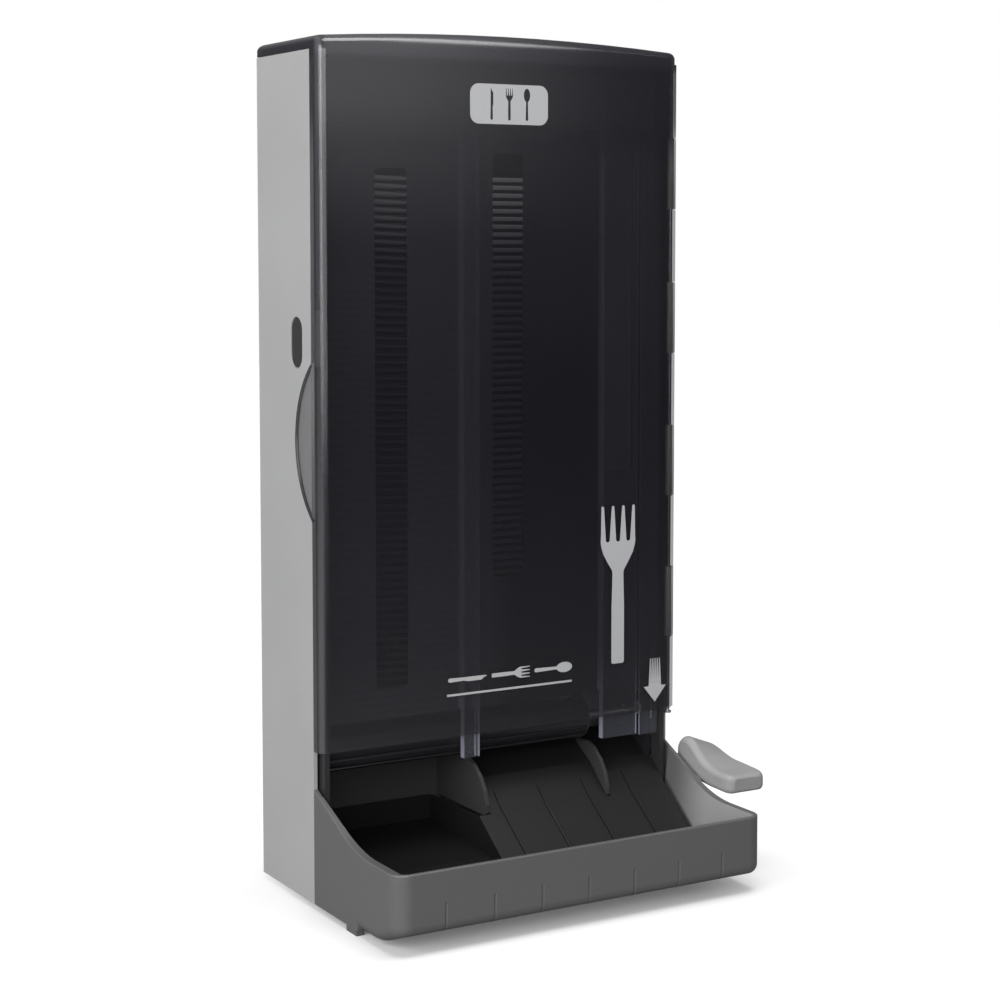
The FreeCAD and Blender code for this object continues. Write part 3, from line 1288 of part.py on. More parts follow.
def screw(name, axis, seat, length, sign):
    """A pan-head screw; seat is the point under its head and the shank runs along sign * axis."""
    x, depth, z = seat
    head = S.screw_head_height
    if axis == "x":
        shank_start = (x, depth, z) if sign > 0 else (x - length, depth, z)
        head_start = (x - head, depth, z) if sign > 0 else (x, depth, z)
    else:
        shank_start, head_start = (x, depth, z - length), (x, depth, z)
    return fuse(name, [rod(name + "_shank", axis, shank_start, length, S.screw_radius),
                       rod(name + "_head", axis, head_start, head, S.screw_head)])


def make_screws():
    """Four groups of screws, each group one node."""
    panel = []
    for index, z in enumerate(SCREW_HEIGHTS):
        panel.append(screw("panel_screw_left_%d" % index, "x", (S.web_wall - INSIDE, WEB_SCREW_DEPTH, z),
                           S.web_wall + 1.5, -1))
        panel.append(screw("panel_screw_right_%d" % index, "x", (INSIDE - S.web_wall, WEB_SCREW_DEPTH, z),
                           S.web_wall + 1.5, 1))
    part("panel_screws", fuse("panel_screws", panel))
    drive = [screw("drive_screw_%d" % index, "x", (PLATE_LEFT, depth, z), INSIDE - PLATE_LEFT + 1.5, 1)
             for index, (depth, z) in enumerate(boss_places())]
    part("drive_plate_screws", fuse("drive_plate_screws", drive))
    cradle = [screw("cradle_screw_%d" % index, "z", (x, CRADLE_SCREW_DEPTH, S.case_wall + 2.8), 4.0, -1)
              for index, x in enumerate(CRADLE_SCREW_X)]
    part("cradle_screws", fuse("cradle_screws", cradle))
    latch = [screw("latch_screw_%d" % index, "x", (2 - INSIDE, depth, z), 3.5, -1)
             for index, (depth, z) in enumerate(latch_screw_places())]
    part("latch_screws", fuse("latch_screws", latch))


# ---------------------------------------------------------------- build and export

def check_document():
    """Stops the build if an object failed or a sub-part's shape is missing or broken."""
    for thing in doc.Objects:
        if "Invalid" in thing.State or "Error" in thing.State:
            raise RuntimeError("%s failed: %s" % (thing.Name, thing.State))
    for label, thing in parts:
        if thing.Shape.isNull() or not thing.Shape.isValid() or not thing.Shape.Solids:
            raise RuntimeError("%s has no valid shape" % label)


def export_parts():
    """Writes one STEP file for each sub-part."""
    os.makedirs("parts", exist_ok=True)
    for label, thing in parts:
        thing.Shape.exportStep("parts/%s.step" % label)


def main():
    """Builds every sub-part and writes the files."""
    for make in (make_housing, make_cover, make_hinge_pin, make_catch, make_latch, make_posts, make_panels,
                 make_magazine, make_forks, make_drum, make_drive_plate, make_gears, make_lever_shaft,
                 make_lever, make_tray, make_cradle, make_liner, make_chute, make_screws):
        make()
    doc.recompute()
    check_document()
    export_parts()


main()
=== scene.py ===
"""Looks of a wall-mounted cutlery dispenser, dressed around its fixed CAD frame."""

import logging
import math
from collections.abc import Iterable, Mapping, Sequence
from dataclasses import dataclass
from enum import Enum

import bpy
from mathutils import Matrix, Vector


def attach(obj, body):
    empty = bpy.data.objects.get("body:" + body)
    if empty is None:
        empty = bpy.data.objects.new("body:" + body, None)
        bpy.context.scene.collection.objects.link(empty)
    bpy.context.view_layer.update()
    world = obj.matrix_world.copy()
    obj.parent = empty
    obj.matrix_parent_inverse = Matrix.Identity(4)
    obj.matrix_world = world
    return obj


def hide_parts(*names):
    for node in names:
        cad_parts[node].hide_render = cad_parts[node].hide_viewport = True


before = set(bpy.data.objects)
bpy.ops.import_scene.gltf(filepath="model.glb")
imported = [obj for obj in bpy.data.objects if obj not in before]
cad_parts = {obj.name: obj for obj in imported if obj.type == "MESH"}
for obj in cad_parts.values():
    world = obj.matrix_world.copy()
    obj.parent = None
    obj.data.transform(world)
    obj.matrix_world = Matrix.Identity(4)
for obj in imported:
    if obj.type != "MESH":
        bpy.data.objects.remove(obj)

LOG = logging.getLogger("dispenser")
Colour = tuple[float, float, float]
Point2 = tuple[float, float]
Point3 = tuple[float, float, float]
MM = 0.001
WALL_Y = 75.0  # the wall's Y in the frame, in millimetres
WHITE = (1.0, 1.0, 1.0, 1.0)
STREAKED: Point3 = (1.0, 1.0, 0.35)  # draws a pattern out along Z


# ---------------------------------------------------------------- shader values and graphs


class Value:
    """One shader value; arithmetic on it adds Math nodes to its tree."""

    def __init__(self, graph: "Graph", socket: bpy.types.NodeSocket) -> None:
        """Keeps the tree and the output socket that the value comes from.

        Args:
            graph: The tree that the value belongs to.
            socket: The output socket that carries it.
        """
        self.graph = graph
        self.socket = socket

    def _maths(self, operation: str, first: "Value | float", second: "Value | float") -> "Value":
        """Adds one Math node."""
        return self.graph.node("ShaderNodeMath", {"operation": operation}, {0: first, 1: second})

    def __add__(self, other: "Value | float") -> "Value":
        """Value + other."""
        return self._maths("ADD", self, other)

    def __radd__(self, other: "Value | float") -> "Value":
        """Other + value."""
        return self._maths("ADD", other, self)

    def __sub__(self, other: "Value | float") -> "Value":
        """Value - other."""
        return self._maths("SUBTRACT", self, other)

    def __rsub__(self, other: "Value | float") -> "Value":
        """Other - value."""
        return self._maths("SUBTRACT", other, self)

    def __mul__(self, other: "Value | float") -> "Value":
        """Value * other."""
        return self._maths("MULTIPLY", self, other)

    def __rmul__(self, other: "Value | float") -> "Value":
        """Other * value."""
        return self._maths("MULTIPLY", other, self)

    def size(self) -> "Value":
        """The value without its sign."""
        return self._maths("ABSOLUTE", self, 0.0)

    def at_least(self, other: "Value | float") -> "Value":
        """The larger of the two."""
        return self._maths("MAXIMUM", self, other)

    def ramp(self, low: float, high: float) -> "Value":
        """A smooth rise from 0 at low to 1 at high.

        Args:
            low: Where the rise starts.
            high: Where it ends.

        Returns:
            The risen value, kept between 0 and 1.
        """
        sockets = {"Value": self, "From Min": low, "From Max": high}
        return self.graph.node("ShaderNodeMapRange", {"interpolation_type": "SMOOTHSTEP"}, sockets)

    def drift(self, width: float) -> "Value":
        """A pattern around 0.5 turned into one around 0, of the given width."""
        return (self - 0.5) * width


class Graph:
    """The node tree of one material or world, with one method that adds any node."""

    def __init__(self, tree: bpy.types.NodeTree) -> None:
        """Empties the tree.

        Args:
            tree: The tree of a material or of the world.
        """
        self.tree = tree
        tree.nodes.clear()

    def node(
        self,
        kind: str,
        settings: Mapping[str, object] | None = None,
        sockets: Mapping[str | int, object] | None = None,
        output: str | int = 0,
    ) -> Value | None:
        """Adds one node.

        Args:
            kind: Its Blender type.
            settings: What is set on the node itself first, such as a Math node's operation.
            sockets: A number, a colour or a Value for each of its inputs, by name or place.
            output: Which of its outputs is wanted.

        Returns:
            That output, or None for a node that has none.
        """
        made = self.tree.nodes.new(kind)
        for name, value in (settings or {}).items():
            setattr(made, name, value)
        for key, value in (sockets or {}).items():
            if isinstance(value, Value):
                self.tree.links.new(value.socket, made.inputs[key])
            else:
                made.inputs[key].default_value = value
        return Value(self, made.outputs[output]) if len(made.outputs) else None

    def place(self, stretch: Point3 = (1.0, 1.0, 1.0)) -> Value:
        """The piece's own coordinates in metres, stretched along each axis.

        Args:
            stretch: How much finer a pattern becomes along X, Y and Z.

        Returns:
            The coordinates.
        """
        place = self.node("ShaderNodeTexCoord", output="Object")
        if stretch == (1.0, 1.0, 1.0):
            return place
        return self.node("ShaderNodeVectorMath", {"operation": "MULTIPLY"}, {0: place, 1: stretch})

    def axis(self, index: int) -> Value:
        """A point's own X, Y or Z (0, 1 or 2) in metres."""
        return self.node("ShaderNodeSeparateXYZ", sockets={0: self.place()}, output=index)

    def facing(self, index: int) -> Value:
        """How far a face looks along X, Y or Z (0, 1 or 2), from -1 to 1."""
        normal = self.node("ShaderNodeNewGeometry", output="True Normal")
        return self.node("ShaderNodeSeparateXYZ", sockets={0: normal}, output=index)

    def distance(self, centre: Point3, stretch: Point3 = (1.0, 1.0, 1.0)) -> Value:
        """How far a point is from a centre, in metres.

        Args:
            centre: The centre, already stretched.
            stretch: What each axis counts for; 0 leaves an axis out.

        Returns:
            The distance.
        """
        ends = {0: self.place(stretch), 1: centre}
        offset = self.node("ShaderNodeVectorMath", {"operation": "SUBTRACT"}, ends)
        return self.node("ShaderNodeVectorMath", {"operation": "LENGTH"}, {0: offset}, output=1)

    def noise(self, scale: float, detail: float = 2.0, stretch: Point3 = (1.0, 1.0, 1.0)) -> Value:
        """A soft random pattern around 0.5.

        Args:
            scale: Its cells per metre.
            detail: How many finer layers it has.
            stretch: How much finer it is along X, Y and Z.

        Returns:
            The pattern's value.
        """
        sockets = {"Vector": self.place(stretch), "Scale": scale, "Detail": detail}
        return self.node("ShaderNodeTexNoise", sockets=sockets)

    def blend(self, share: Value | float, first: Colour | Value, second: Colour | Value) -> Value:
        """A colour between two.

        Args:
            share: 0 for the first and 1 for the second.
            first: Linear colour at 0.
            second: Linear colour at 1.

        Returns:
            The mixed colour.
        """
        ends = [end if isinstance(end, Value) else (*end, 1.0) for end in (first, second)]
        sockets = {0: share, 6: ends[0], 7: ends[1]}
        return self.node("ShaderNodeMix", {"data_type": "RGBA"}, sockets, output=2)

    def mottled(self, share: Value, colour: Colour, amount: float) -> Value:
        """A colour that drifts darker and lighter.

        Args:
            share: 0 for the darkest and 1 for the lightest.
            colour: The linear colour in the middle.
            amount: How far it goes either way, as a share of the colour.

        Returns:
            The drifting colour.
        """
        return self.blend(share, shade(colour, 1.0 - amount), shade(colour, 1.0 + amount))

    def relief(self, height: Value, depth: float) -> Value:
        """A normal that a height pattern tilts.

        Args:
            height: The pattern, from 0 to 1.
            depth: How far 0 and 1 are apart, in metres.

        Returns:
            The tilted normal.
        """
        return self.node("ShaderNodeBump", sockets={"Strength": 1.0, "Distance": depth, "Height": height})


def shade(colour: Colour, factor: float) -> Colour:
    """A colour made lighter or darker.

    Args:
        colour: A linear colour.
        factor: What each channel is multiplied by.

    Returns:
        The new colour, with no channel over 1.
    """
    return tuple(min(1.0, channel * factor) for channel in colour)


# ---------------------------------------------------------------- finishes


@dataclass(frozen=True)
class Look:
    """A finish made by one Principled shader."""

    name: str

    def sockets(self, graph: Graph) -> Mapping[str, object]:
        """What the shader is given.

        Args:
            graph: The graph to draw in.

        Returns:
            A number, a colour or a Value for each of its sockets.
        """
        raise NotImplementedError

    def material(self) -> bpy.types.Material:
        """The finish as a new material."""
        material = bpy.data.materials.new(self.name)
        material.use_nodes = True
        graph = Graph(material.node_tree)
        shader = graph.node("ShaderNodeBsdfPrincipled", sockets=self.sockets(graph))
        graph.node("ShaderNodeOutputMaterial", sockets={"Surface": shader})
        return material


@dataclass(frozen=True)
class Moulded(Look):
    """An opaque moulded plastic with a fine mould texture and slightly uneven gloss."""

    colour: Colour
    roughness: float
    grain: float = 1100.0
    depth: float = 0.00004
    mottle: float = 0.05
    gloss_drift: float = 0.12
    ior: float = 1.46

    def sockets(self, graph: Graph) -> Mapping[str, object]:
        """What the plastic's shader is given.

        Args:
            graph: The graph to draw in.

        Returns:
            A number, a colour or a Value for each of its sockets.
        """
        cloud = graph.noise(14.0, 3.0)
        fine = graph.noise(self.grain, 2.0)
        share = cloud.drift(1.4) + fine.drift(0.5) + 0.5
        return {
            "Base Color": graph.mottled(share, self.colour, self.mottle),
            "Roughness": cloud.drift(self.gloss_drift) + fine.drift(0.08) + self.roughness,
            "IOR": self.ior,
            "Normal": graph.relief(fine, self.depth),
        }


@dataclass(frozen=True)
class Smoked(Look):
    """A see-through plastic with a slightly wavy surface, denser at its cut edges, most of all low down."""

    colour: Colour
    opacity: float
    roughness: float
    ior: float = 1.42
    ripple: float = 0.00005
    edge_opacity: float = 0.0
    edge_facing: Point2 = (0.7, 0.95)
    edge_fade: Point2 = (0.12, 0.16)
    edge_loss: float = 0.8

    def sockets(self, graph: Graph) -> Mapping[str, object]:
        """What the plastic's shader is given.

        Args:
            graph: The graph to draw in.

        Returns:
            A number, a colour or a Value for each of its sockets.
        """
        streak = graph.noise(26.0, 2.0, STREAKED)
        fine = graph.noise(700.0, 1.0)
        low = 1.0 - graph.axis(2).ramp(*self.edge_fade) * self.edge_loss
        edge = graph.facing(0).size().ramp(*self.edge_facing) * low
        return {
            "Base Color": graph.mottled(streak, self.colour, 0.1),
            "Alpha": edge * self.edge_opacity + streak.drift(0.05) + self.opacity,
            "Roughness": streak.drift(0.06) + fine.drift(0.04) + self.roughness,
            "IOR": self.ior,
            "Normal": graph.relief(streak, self.ripple),
        }


@dataclass(frozen=True)
class DoorSmoke(Look):
    """The door's smoke plastic: clearer at its ear, closed at its cap, painted paler towards its upper left.

    Its colour holds painted light: a painted glow at its upper and lower left and a painted highlight strip
    down its left corner.

    A pair says between which places, in metres along X or up Z, something changes, and for the ear's rim
    between which distances from the ear's centre.
    """

    colour: Colour = (0.0085, 0.008, 0.0138)
    # the colour of the painted light: the painted glow and the painted corner highlight
    pale: Colour = (0.168, 0.167, 0.178)
    opacity: float = 0.44
    roughness: float = 0.17
    ior: float = 1.7
    ripple: float = 0.00004
    front_start: Point2 = (-0.1525, -0.142)
    # where the painted glow at the upper left, the painted glow low down and the painted highlight strip
    # down the left corner lie
    upper_rise: Point2 = (0.46, 0.60)
    upper_fade: Point2 = (-0.13, 0.14)
    upper_painted_light_share: float = 0.53
    lower_fall: Point2 = (0.07, 0.20)
    lower_fade: Point2 = (-0.10, 0.10)
    lower_painted_light_share: float = 0.13
    corner_highlight_rise: Point2 = (-0.1532, -0.1512)
    corner_highlight_fall: Point2 = (-0.1503, -0.1475)
    corner_highlight_fade: Point2 = (0.15, 0.42)
    corner_painted_highlight_share: float = 0.8
    cap_rise: Point2 = (0.602, 0.609)
    cap_opacity: float = 0.91
    veil_rise: Point2 = (0.535, 0.575)
    veil: float = 0.26
    ear_side: Point2 = (-0.15325, -0.1531)
    ear_opacity: float = 0.18
    ear_centre: Point3 = (0.0, -0.0634, 0.334)
    ear_rim: Point2 = (0.0695, 0.0698)
    rim_opacity: float = 0.75
    side_from: float = 0.1415
    side_bend: float = 24.0
    top_from: float = 0.606
    top_bend: float = 26.0

    def glow(self, across: Value, height: Value) -> Value:
        """How much painted light the plastic's colour holds at a point: a glow at the upper and lower left,
        and a highlight strip down the left corner.

        Args:
            across: The point's own X.
            height: The point's own Z.

        Returns:
            0 for the smoke colour and 1 for the pale colour of the painted light.
        """
        inner = across.ramp(*self.front_start)
        # painted light: a glow towards the upper left
        upper = height.ramp(*self.upper_rise) * inner * (1.0 - across.ramp(*self.upper_fade) * 0.95)
        # painted light: a weaker glow low down, stronger on the left
        lower = (1.0 - height.ramp(*self.lower_fall)) * inner * (1.0 - across.ramp(*self.lower_fade) * 0.6)
        # painted highlight: a strip down the left front corner, weaker higher up
        strip = across.ramp(*self.corner_highlight_rise) * (1.0 - across.ramp(*self.corner_highlight_fall))
        corner = strip * (1.0 - height.ramp(*self.corner_highlight_fade) * 0.45)
        return upper * self.upper_painted_light_share + lower * self.lower_painted_light_share + corner * self.corner_painted_highlight_share

    def cover(self, graph: Graph, across: Value, height: Value) -> Value:
        """How much the plastic hides at a point.

        Args:
            graph: The graph to draw in.
            across: The point's own X.
            height: The point's own Z.

        Returns:
            The opacity, before its streaks.
        """
        cap = height.ramp(*self.cap_rise)
        veil = height.ramp(*self.veil_rise) * (1.0 - cap) * self.veil
        ear = 1.0 - across.ramp(*self.ear_side)
        rim = ear * graph.distance(self.ear_centre, (0.0, 1.0, 1.0)).ramp(*self.ear_rim)
        zones = cap * (self.cap_opacity - self.opacity) + ear * (self.ear_opacity - self.opacity)
        return zones + rim * (self.rim_opacity - self.ear_opacity) + veil + self.opacity

    def bend(self, across: Value, height: Value) -> Value:
        """How far the surface falls back at a point, towards the door's rounded sides and top.

        Args:
            across: The point's own X.
            height: The point's own Z.

        Returns:
            The fall in metres.
        """
        side = (across.size() - self.side_from).at_least(0.0)
        top = (height - self.top_from).at_least(0.0)
        return side * side * self.side_bend + top * top * self.top_bend

    def sockets(self, graph: Graph) -> Mapping[str, object]:
        """What the plastic's shader is given.

        Args:
            graph: The graph to draw in.

        Returns:
            A number, a colour or a Value for each of its sockets.
        """
        across, height = graph.axis(0), graph.axis(2)
        streak = graph.noise(26.0, 2.0, STREAKED)
        fine = graph.noise(700.0, 1.0)
        # the painted light, with a fine random tone on it
        share = self.glow(across, height) + fine.drift(0.03)
        return {
            "Base Color": graph.blend(share, self.colour, self.pale),
            "Alpha": self.cover(graph, across, height) + streak.drift(0.04),
            "Roughness": streak.drift(0.05) + fine.drift(0.04) + self.roughness,
            "IOR": self.ior,
            "Normal": graph.relief(streak * self.ripple - self.bend(across, height), 1.0),
        }


@dataclass(frozen=True)
class PanelSmoke(Look):
    """The inner panel's smoke plastic, painted paler on the left and at the top as painted light, with
    painted bands for the stack behind it.
    """

    colour: Colour = (0.022, 0.0215, 0.028)
    # the colour of the painted light
    pale: Colour = (0.125, 0.123, 0.138)
    opacity: float = 0.86
    roughness: float = 0.35
    band: float = 0.0058
    band_slope: float = 8.0
    band_share: float = 0.07
    # painted light: paler towards the left and towards the top
    left_fade: Point2 = (-0.02, 0.02)
    left_painted_light_share: float = 0.75
    upper_rise: Point2 = (0.36, 0.56)
    upper_painted_light_share: float = 0.5

    def sockets(self, graph: Graph) -> Mapping[str, object]:
        """What the plastic's shader is given.

        Args:
            graph: The graph to draw in.

        Returns:
            A number, a colour or a Value for each of its sockets.
        """
        across, height = graph.axis(0), graph.axis(2)
        cloud = graph.noise(20.0, 2.0)
        turn = height * (2.0 * math.pi / self.band) + across * self.band_slope
        bands = graph.node("ShaderNodeMath", {"operation": "SINE"}, {0: turn})
        # painted light on the left and at the top, and painted bands on the left
        left = 1.0 - across.ramp(*self.left_fade)
        share = left * self.left_painted_light_share + height.ramp(*self.upper_rise) * self.upper_painted_light_share
        share = share + bands * left * self.band_share + cloud.drift(0.1)
        return {
            "Base Color": graph.blend(share, self.colour, self.pale),
            "Alpha": cloud.drift(0.05) + self.opacity,
            "Roughness": cloud.drift(0.1) + self.roughness,
            "Normal": graph.relief(cloud, 0.00002),
        }


@dataclass(frozen=True)
class ForkBlack(Look):
    """The forks' glossy plastic with a painted glint: an emission on its front faces that grows towards the
    top and is weaker on the left.
    """

    colour: Colour = (0.02, 0.02, 0.022)
    # the colour of the painted glint, given off as emission
    glint: Colour = (0.17, 0.169, 0.18)
    roughness: float = 0.25
    front_facing: Point2 = (0.3, 0.8)
    lower_rise: Point2 = (0.1, 0.45)
    upper_rise: Point2 = (0.44, 0.53)
    right_rise: Point2 = (-0.06, 0.0)

    def glow(self, graph: Graph) -> Value:
        """The share of the painted glint at a point.

        Args:
            graph: The graph to draw in.

        Returns:
            0 for none and 1 for the whole glint.
        """
        height = graph.axis(2)
        front = (0.0 - graph.facing(1)).ramp(*self.front_facing)
        rise = height.ramp(*self.upper_rise) * 0.85 + height.ramp(*self.lower_rise) * 0.05 + 0.05
        return front * rise * (graph.axis(0).ramp(*self.right_rise) * 0.4 + 0.6)

    def sockets(self, graph: Graph) -> Mapping[str, object]:
        """What the plastic's shader is given.

        Args:
            graph: The graph to draw in.

        Returns:
            A number, a colour or a Value for each of its sockets.
        """
        cloud = graph.noise(40.0, 2.0)
        return {
            "Base Color": graph.mottled(cloud, self.colour, 0.1),
            "Roughness": cloud.drift(0.1) + self.roughness,
            # painted glint: the front faces glow though they are no lamp
            "Emission Color": graph.blend(self.glow(graph), (0.0, 0.0, 0.0), self.glint),
            "Emission Strength": 1.0,
        }


@dataclass(frozen=True)
class TubGrey(Look):
    """The tray's moulded plastic, with a painted sheen: paler inside its right wall, towards the front."""

    colour: Colour = (0.118, 0.118, 0.118)
    # the colour of the painted sheen
    pale: Colour = (0.33, 0.33, 0.33)
    roughness: float = 0.31
    inward_facing: Point2 = (0.5, 0.9)
    right_wall: Point2 = (0.12, 0.135)
    front_fade: Point2 = (-0.085, -0.03)

    def sockets(self, graph: Graph) -> Mapping[str, object]:
        """What the plastic's shader is given.

        Args:
            graph: The graph to draw in.

        Returns:
            A number, a colour or a Value for each of its sockets.
        """
        cloud = graph.noise(14.0, 3.0)
        fine = graph.noise(1300.0, 2.0)
        # painted sheen: the inside of the right wall is paler towards the front
        inward = (0.0 - graph.facing(0)).ramp(*self.inward_facing)
        inside = inward * graph.axis(0).ramp(*self.right_wall)
        share = inside * (1.0 - graph.axis(1).ramp(*self.front_fade)) + cloud.drift(0.06) + fine.drift(0.04)
        return {
            "Base Color": graph.blend(share, self.colour, self.pale),
            "Roughness": cloud.drift(0.12) + fine.drift(0.08) + self.roughness,
            "Normal": graph.relief(fine, 0.00003),
        }


@dataclass(frozen=True)
class Steel(Look):
    """Plain drawn or turned steel with fine lines along one axis."""

    colour: Colour = (0.55, 0.55, 0.56)
    roughness: float = 0.3
    stretch: Point3 = (0.05, 1.0, 1.0)
    stained: float = 0.86
    bright: float = 1.1

    def sockets(self, graph: Graph) -> Mapping[str, object]:
        """What the steel's shader is given.

        Args:
            graph: The graph to draw in.

        Returns:
            A number, a colour or a Value for each of its sockets.
        """
        lines = graph.noise(1500.0, 2.0, self.stretch)
        stain = graph.noise(60.0, 3.0)
        dark, light = shade(self.colour, self.stained), shade(self.colour, self.bright)
        return {
            "Base Color": graph.blend(stain, dark, light),
            "Metallic": 1.0,
            "Roughness": lines.drift(0.2) + stain.drift(0.1) + self.roughness,
            "Normal": graph.relief(lines, 0.00002),
        }


class Finish(Enum):
    """Every finish on the dispenser."""

    HOUSING = Moulded("housing_grey", (0.392, 0.393, 0.395), 0.45, depth=0.00003)
    COVER = DoorSmoke("cover_smoke_painted_light")
    CATCH = Smoked("catch_clear", (0.30, 0.30, 0.31), 0.75, 0.25)
    LATCH = Moulded("latch_dark", (0.036, 0.036, 0.038), 0.38)
    POST = Moulded("post_dark", (0.027, 0.027, 0.029), 0.33)
    PANEL = PanelSmoke("panel_smoke_painted_light")
    GUIDE = Smoked("guide_clear", (0.34, 0.35, 0.42), 0.085, 0.12, ripple=0.00002, edge_opacity=0.7)
    CHANNEL = Moulded("channel_grey", (0.05, 0.05, 0.055), 0.5)
    FORK = ForkBlack("fork_gloss_painted_glint")
    DRUM = Moulded("drum_dark", (0.017, 0.017, 0.02), 0.3)
    GEAR = Moulded("gear_acetal", (0.62, 0.6, 0.54), 0.38)
    LEVER = Moulded(
        "lever_grey", (0.318, 0.318, 0.317), 0.62, grain=1500.0, depth=0.00009, mottle=0.07, ior=1.36
    )
    TRAY = TubGrey("tray_grey_painted_sheen")
    LINER = Moulded("liner_black", (0.0115, 0.0115, 0.0115), 0.36, grain=1400.0, depth=0.00003, ior=1.3)
    CHUTE = Moulded("chute_grey", (0.042, 0.042, 0.042), 0.36)
    RUBBER = Moulded("foot_soft", (0.02, 0.02, 0.02), 0.75, grain=900.0, depth=0.00008)
    INK = Moulded("print_grey", (0.52, 0.525, 0.535), 0.45, grain=2500.0, depth=0.000005, mottle=0.02)
    STEEL = Steel("steel_drawn")
    STEEL_PIN = Steel("steel_pin", stretch=(1.0, 1.0, 0.05))

    @property
    def material(self) -> bpy.types.Material:
        """The finish's material, made the first time that it is asked for."""
        return bpy.data.materials.get(self.value.name) or self.value.material()


# ---------------------------------------------------------------- pieces


def at(x: float, depth: float, z: float) -> Vector:
    """A point of the frame.

    Args:
        x: Millimetres to the right of the middle.
        depth: Millimetres out from the wall.
        z: Millimetres above the base.

    Returns:
        The point in metres.
    """
    return Vector((x * MM, (WALL_Y - depth) * MM, z * MM))


def dress_node(node: str, finish: Finish) -> bpy.types.Object:
    """Gives a CAD node its finish.

    Args:
        node: The node's name.
        finish: Its finish.

    Returns:
        The node's object.
    """
    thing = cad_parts[node]
    thing.data.materials.clear()
    thing.data.materials.append(finish.material)
    LOG.info("%s: %s", node, finish.value.name)
    return thing


def soften(thing: bpy.types.Object, width: float, segments: int = 2) -> None:
    """Rounds a CAD node's sharp edges.

    Args:
        thing: The node's object.
        width: The rounding's size in millimetres.
        segments: How many facets it has.
    """
    joined, flat, sharp = 0.002, 0.6, 35.0  # millimetres, then degrees
    weld = thing.modifiers.new("weld", "WELD")
    weld.merge_threshold = joined * MM
    planar = thing.modifiers.new("planar", "DECIMATE")
    planar.decimate_type = "DISSOLVE"
    planar.angle_limit = math.radians(flat)
    bevel = thing.modifiers.new("edges", "BEVEL")
    bevel.width = width * MM
    bevel.segments = segments
    bevel.limit_method = "ANGLE"
    bevel.angle_limit = math.radians(sharp)
    bevel.use_clamp_overlap = True
    bevel.harden_normals = True


def new_piece(
    name: str,
    points: Iterable[Sequence[float]],
    faces: Iterable[Sequence[int]],
    finish: Finish,
    body: str,
) -> bpy.types.Object:
    """A piece of its own that rides on a body.

    Args:
        name: The piece's name.
        points: Its vertices in metres.
        faces: Its faces, by vertex.
        finish: Its finish.
        body: The CAD body that it moves with.

    Returns:
        The new object.
    """
    mesh = bpy.data.meshes.new(name)
    mesh.from_pydata([tuple(p) for p in points], [], [tuple(f) for f in faces])
    mesh.validate()
    mesh.materials.append(finish.material)
    thing = bpy.data.objects.new(name, mesh)
    bpy.context.scene.collection.objects.link(thing)
    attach(thing, body)
    LOG.info("%s: %s on %s", name, finish.value.name, body)
    return thing


def faces_of(mesh: bpy.types.Mesh) -> list[tuple[int, ...]]:
    """A mesh's faces, by vertex."""
    return [tuple(polygon.vertices) for polygon in mesh.polygons]


def plate_mesh(outlines: Sequence[Sequence[Point2]], thickness: float, rounding: float) -> bpy.types.Mesh:
    """Flat plates with rounded rims, cut along closed outlines.

    Args:
        outlines: Closed outlines in millimetres; one inside another is a hole.
        thickness: The plates' thickness in millimetres.
        rounding: Their rims' rounding in millimetres.

    Returns:
        The mesh, in millimetres, with its plates in the XY plane.
    """
    curve = bpy.data.curves.new("plate", "CURVE")
    curve.dimensions = "2D"
    curve.fill_mode = "BOTH"
    curve.extrude = thickness / 2 - rounding
    curve.bevel_depth = rounding
    curve.bevel_resolution = 1
    curve.offset = -rounding
    for outline in outlines:
        spline = curve.splines.new("POLY")
        spline.points.add(len(outline) - 1)
        for point, (u, v) in zip(spline.points, outline):
            point.co = (u, v, 0.0, 1.0)
        spline.use_cyclic_u = True
    holder = bpy.data.objects.new("plate", curve)
    bpy.context.scene.collection.objects.link(holder)
    bpy.context.view_layer.update()
    mesh = bpy.data.meshes.new_from_object(holder)
    bpy.data.objects.remove(holder)
    bpy.data.curves.remove(curve)
    return mesh


def arc(centre: Point2, radius: float, start: float, end: float, steps: int) -> list[Point2]:
    """Points along an arc.

    Args:
        centre: Its centre.
        radius: Its radius.
        start: Its first angle in degrees.
        end: Its last angle in degrees.
        steps: How many chords it has.

    Returns:
        The points, ends included.
    """
    angles = [math.radians(start + (end - start) * i / steps) for i in range(steps + 1)]
    return [(centre[0] + radius * math.cos(a), centre[1] + radius * math.sin(a)) for a in angles]


# ---------------------------------------------------------------- sub-assemblies


@dataclass
class Housing:
    """The back shell with its hinge knuckles."""

    edge: float = 0.7

    def dress(self) -> None:
        """Finishes the shell and softens its edges."""
        soften(dress_node("rear_housing", Finish.HOUSING), self.edge)
        dress_node("rear_feet", Finish.RUBBER)


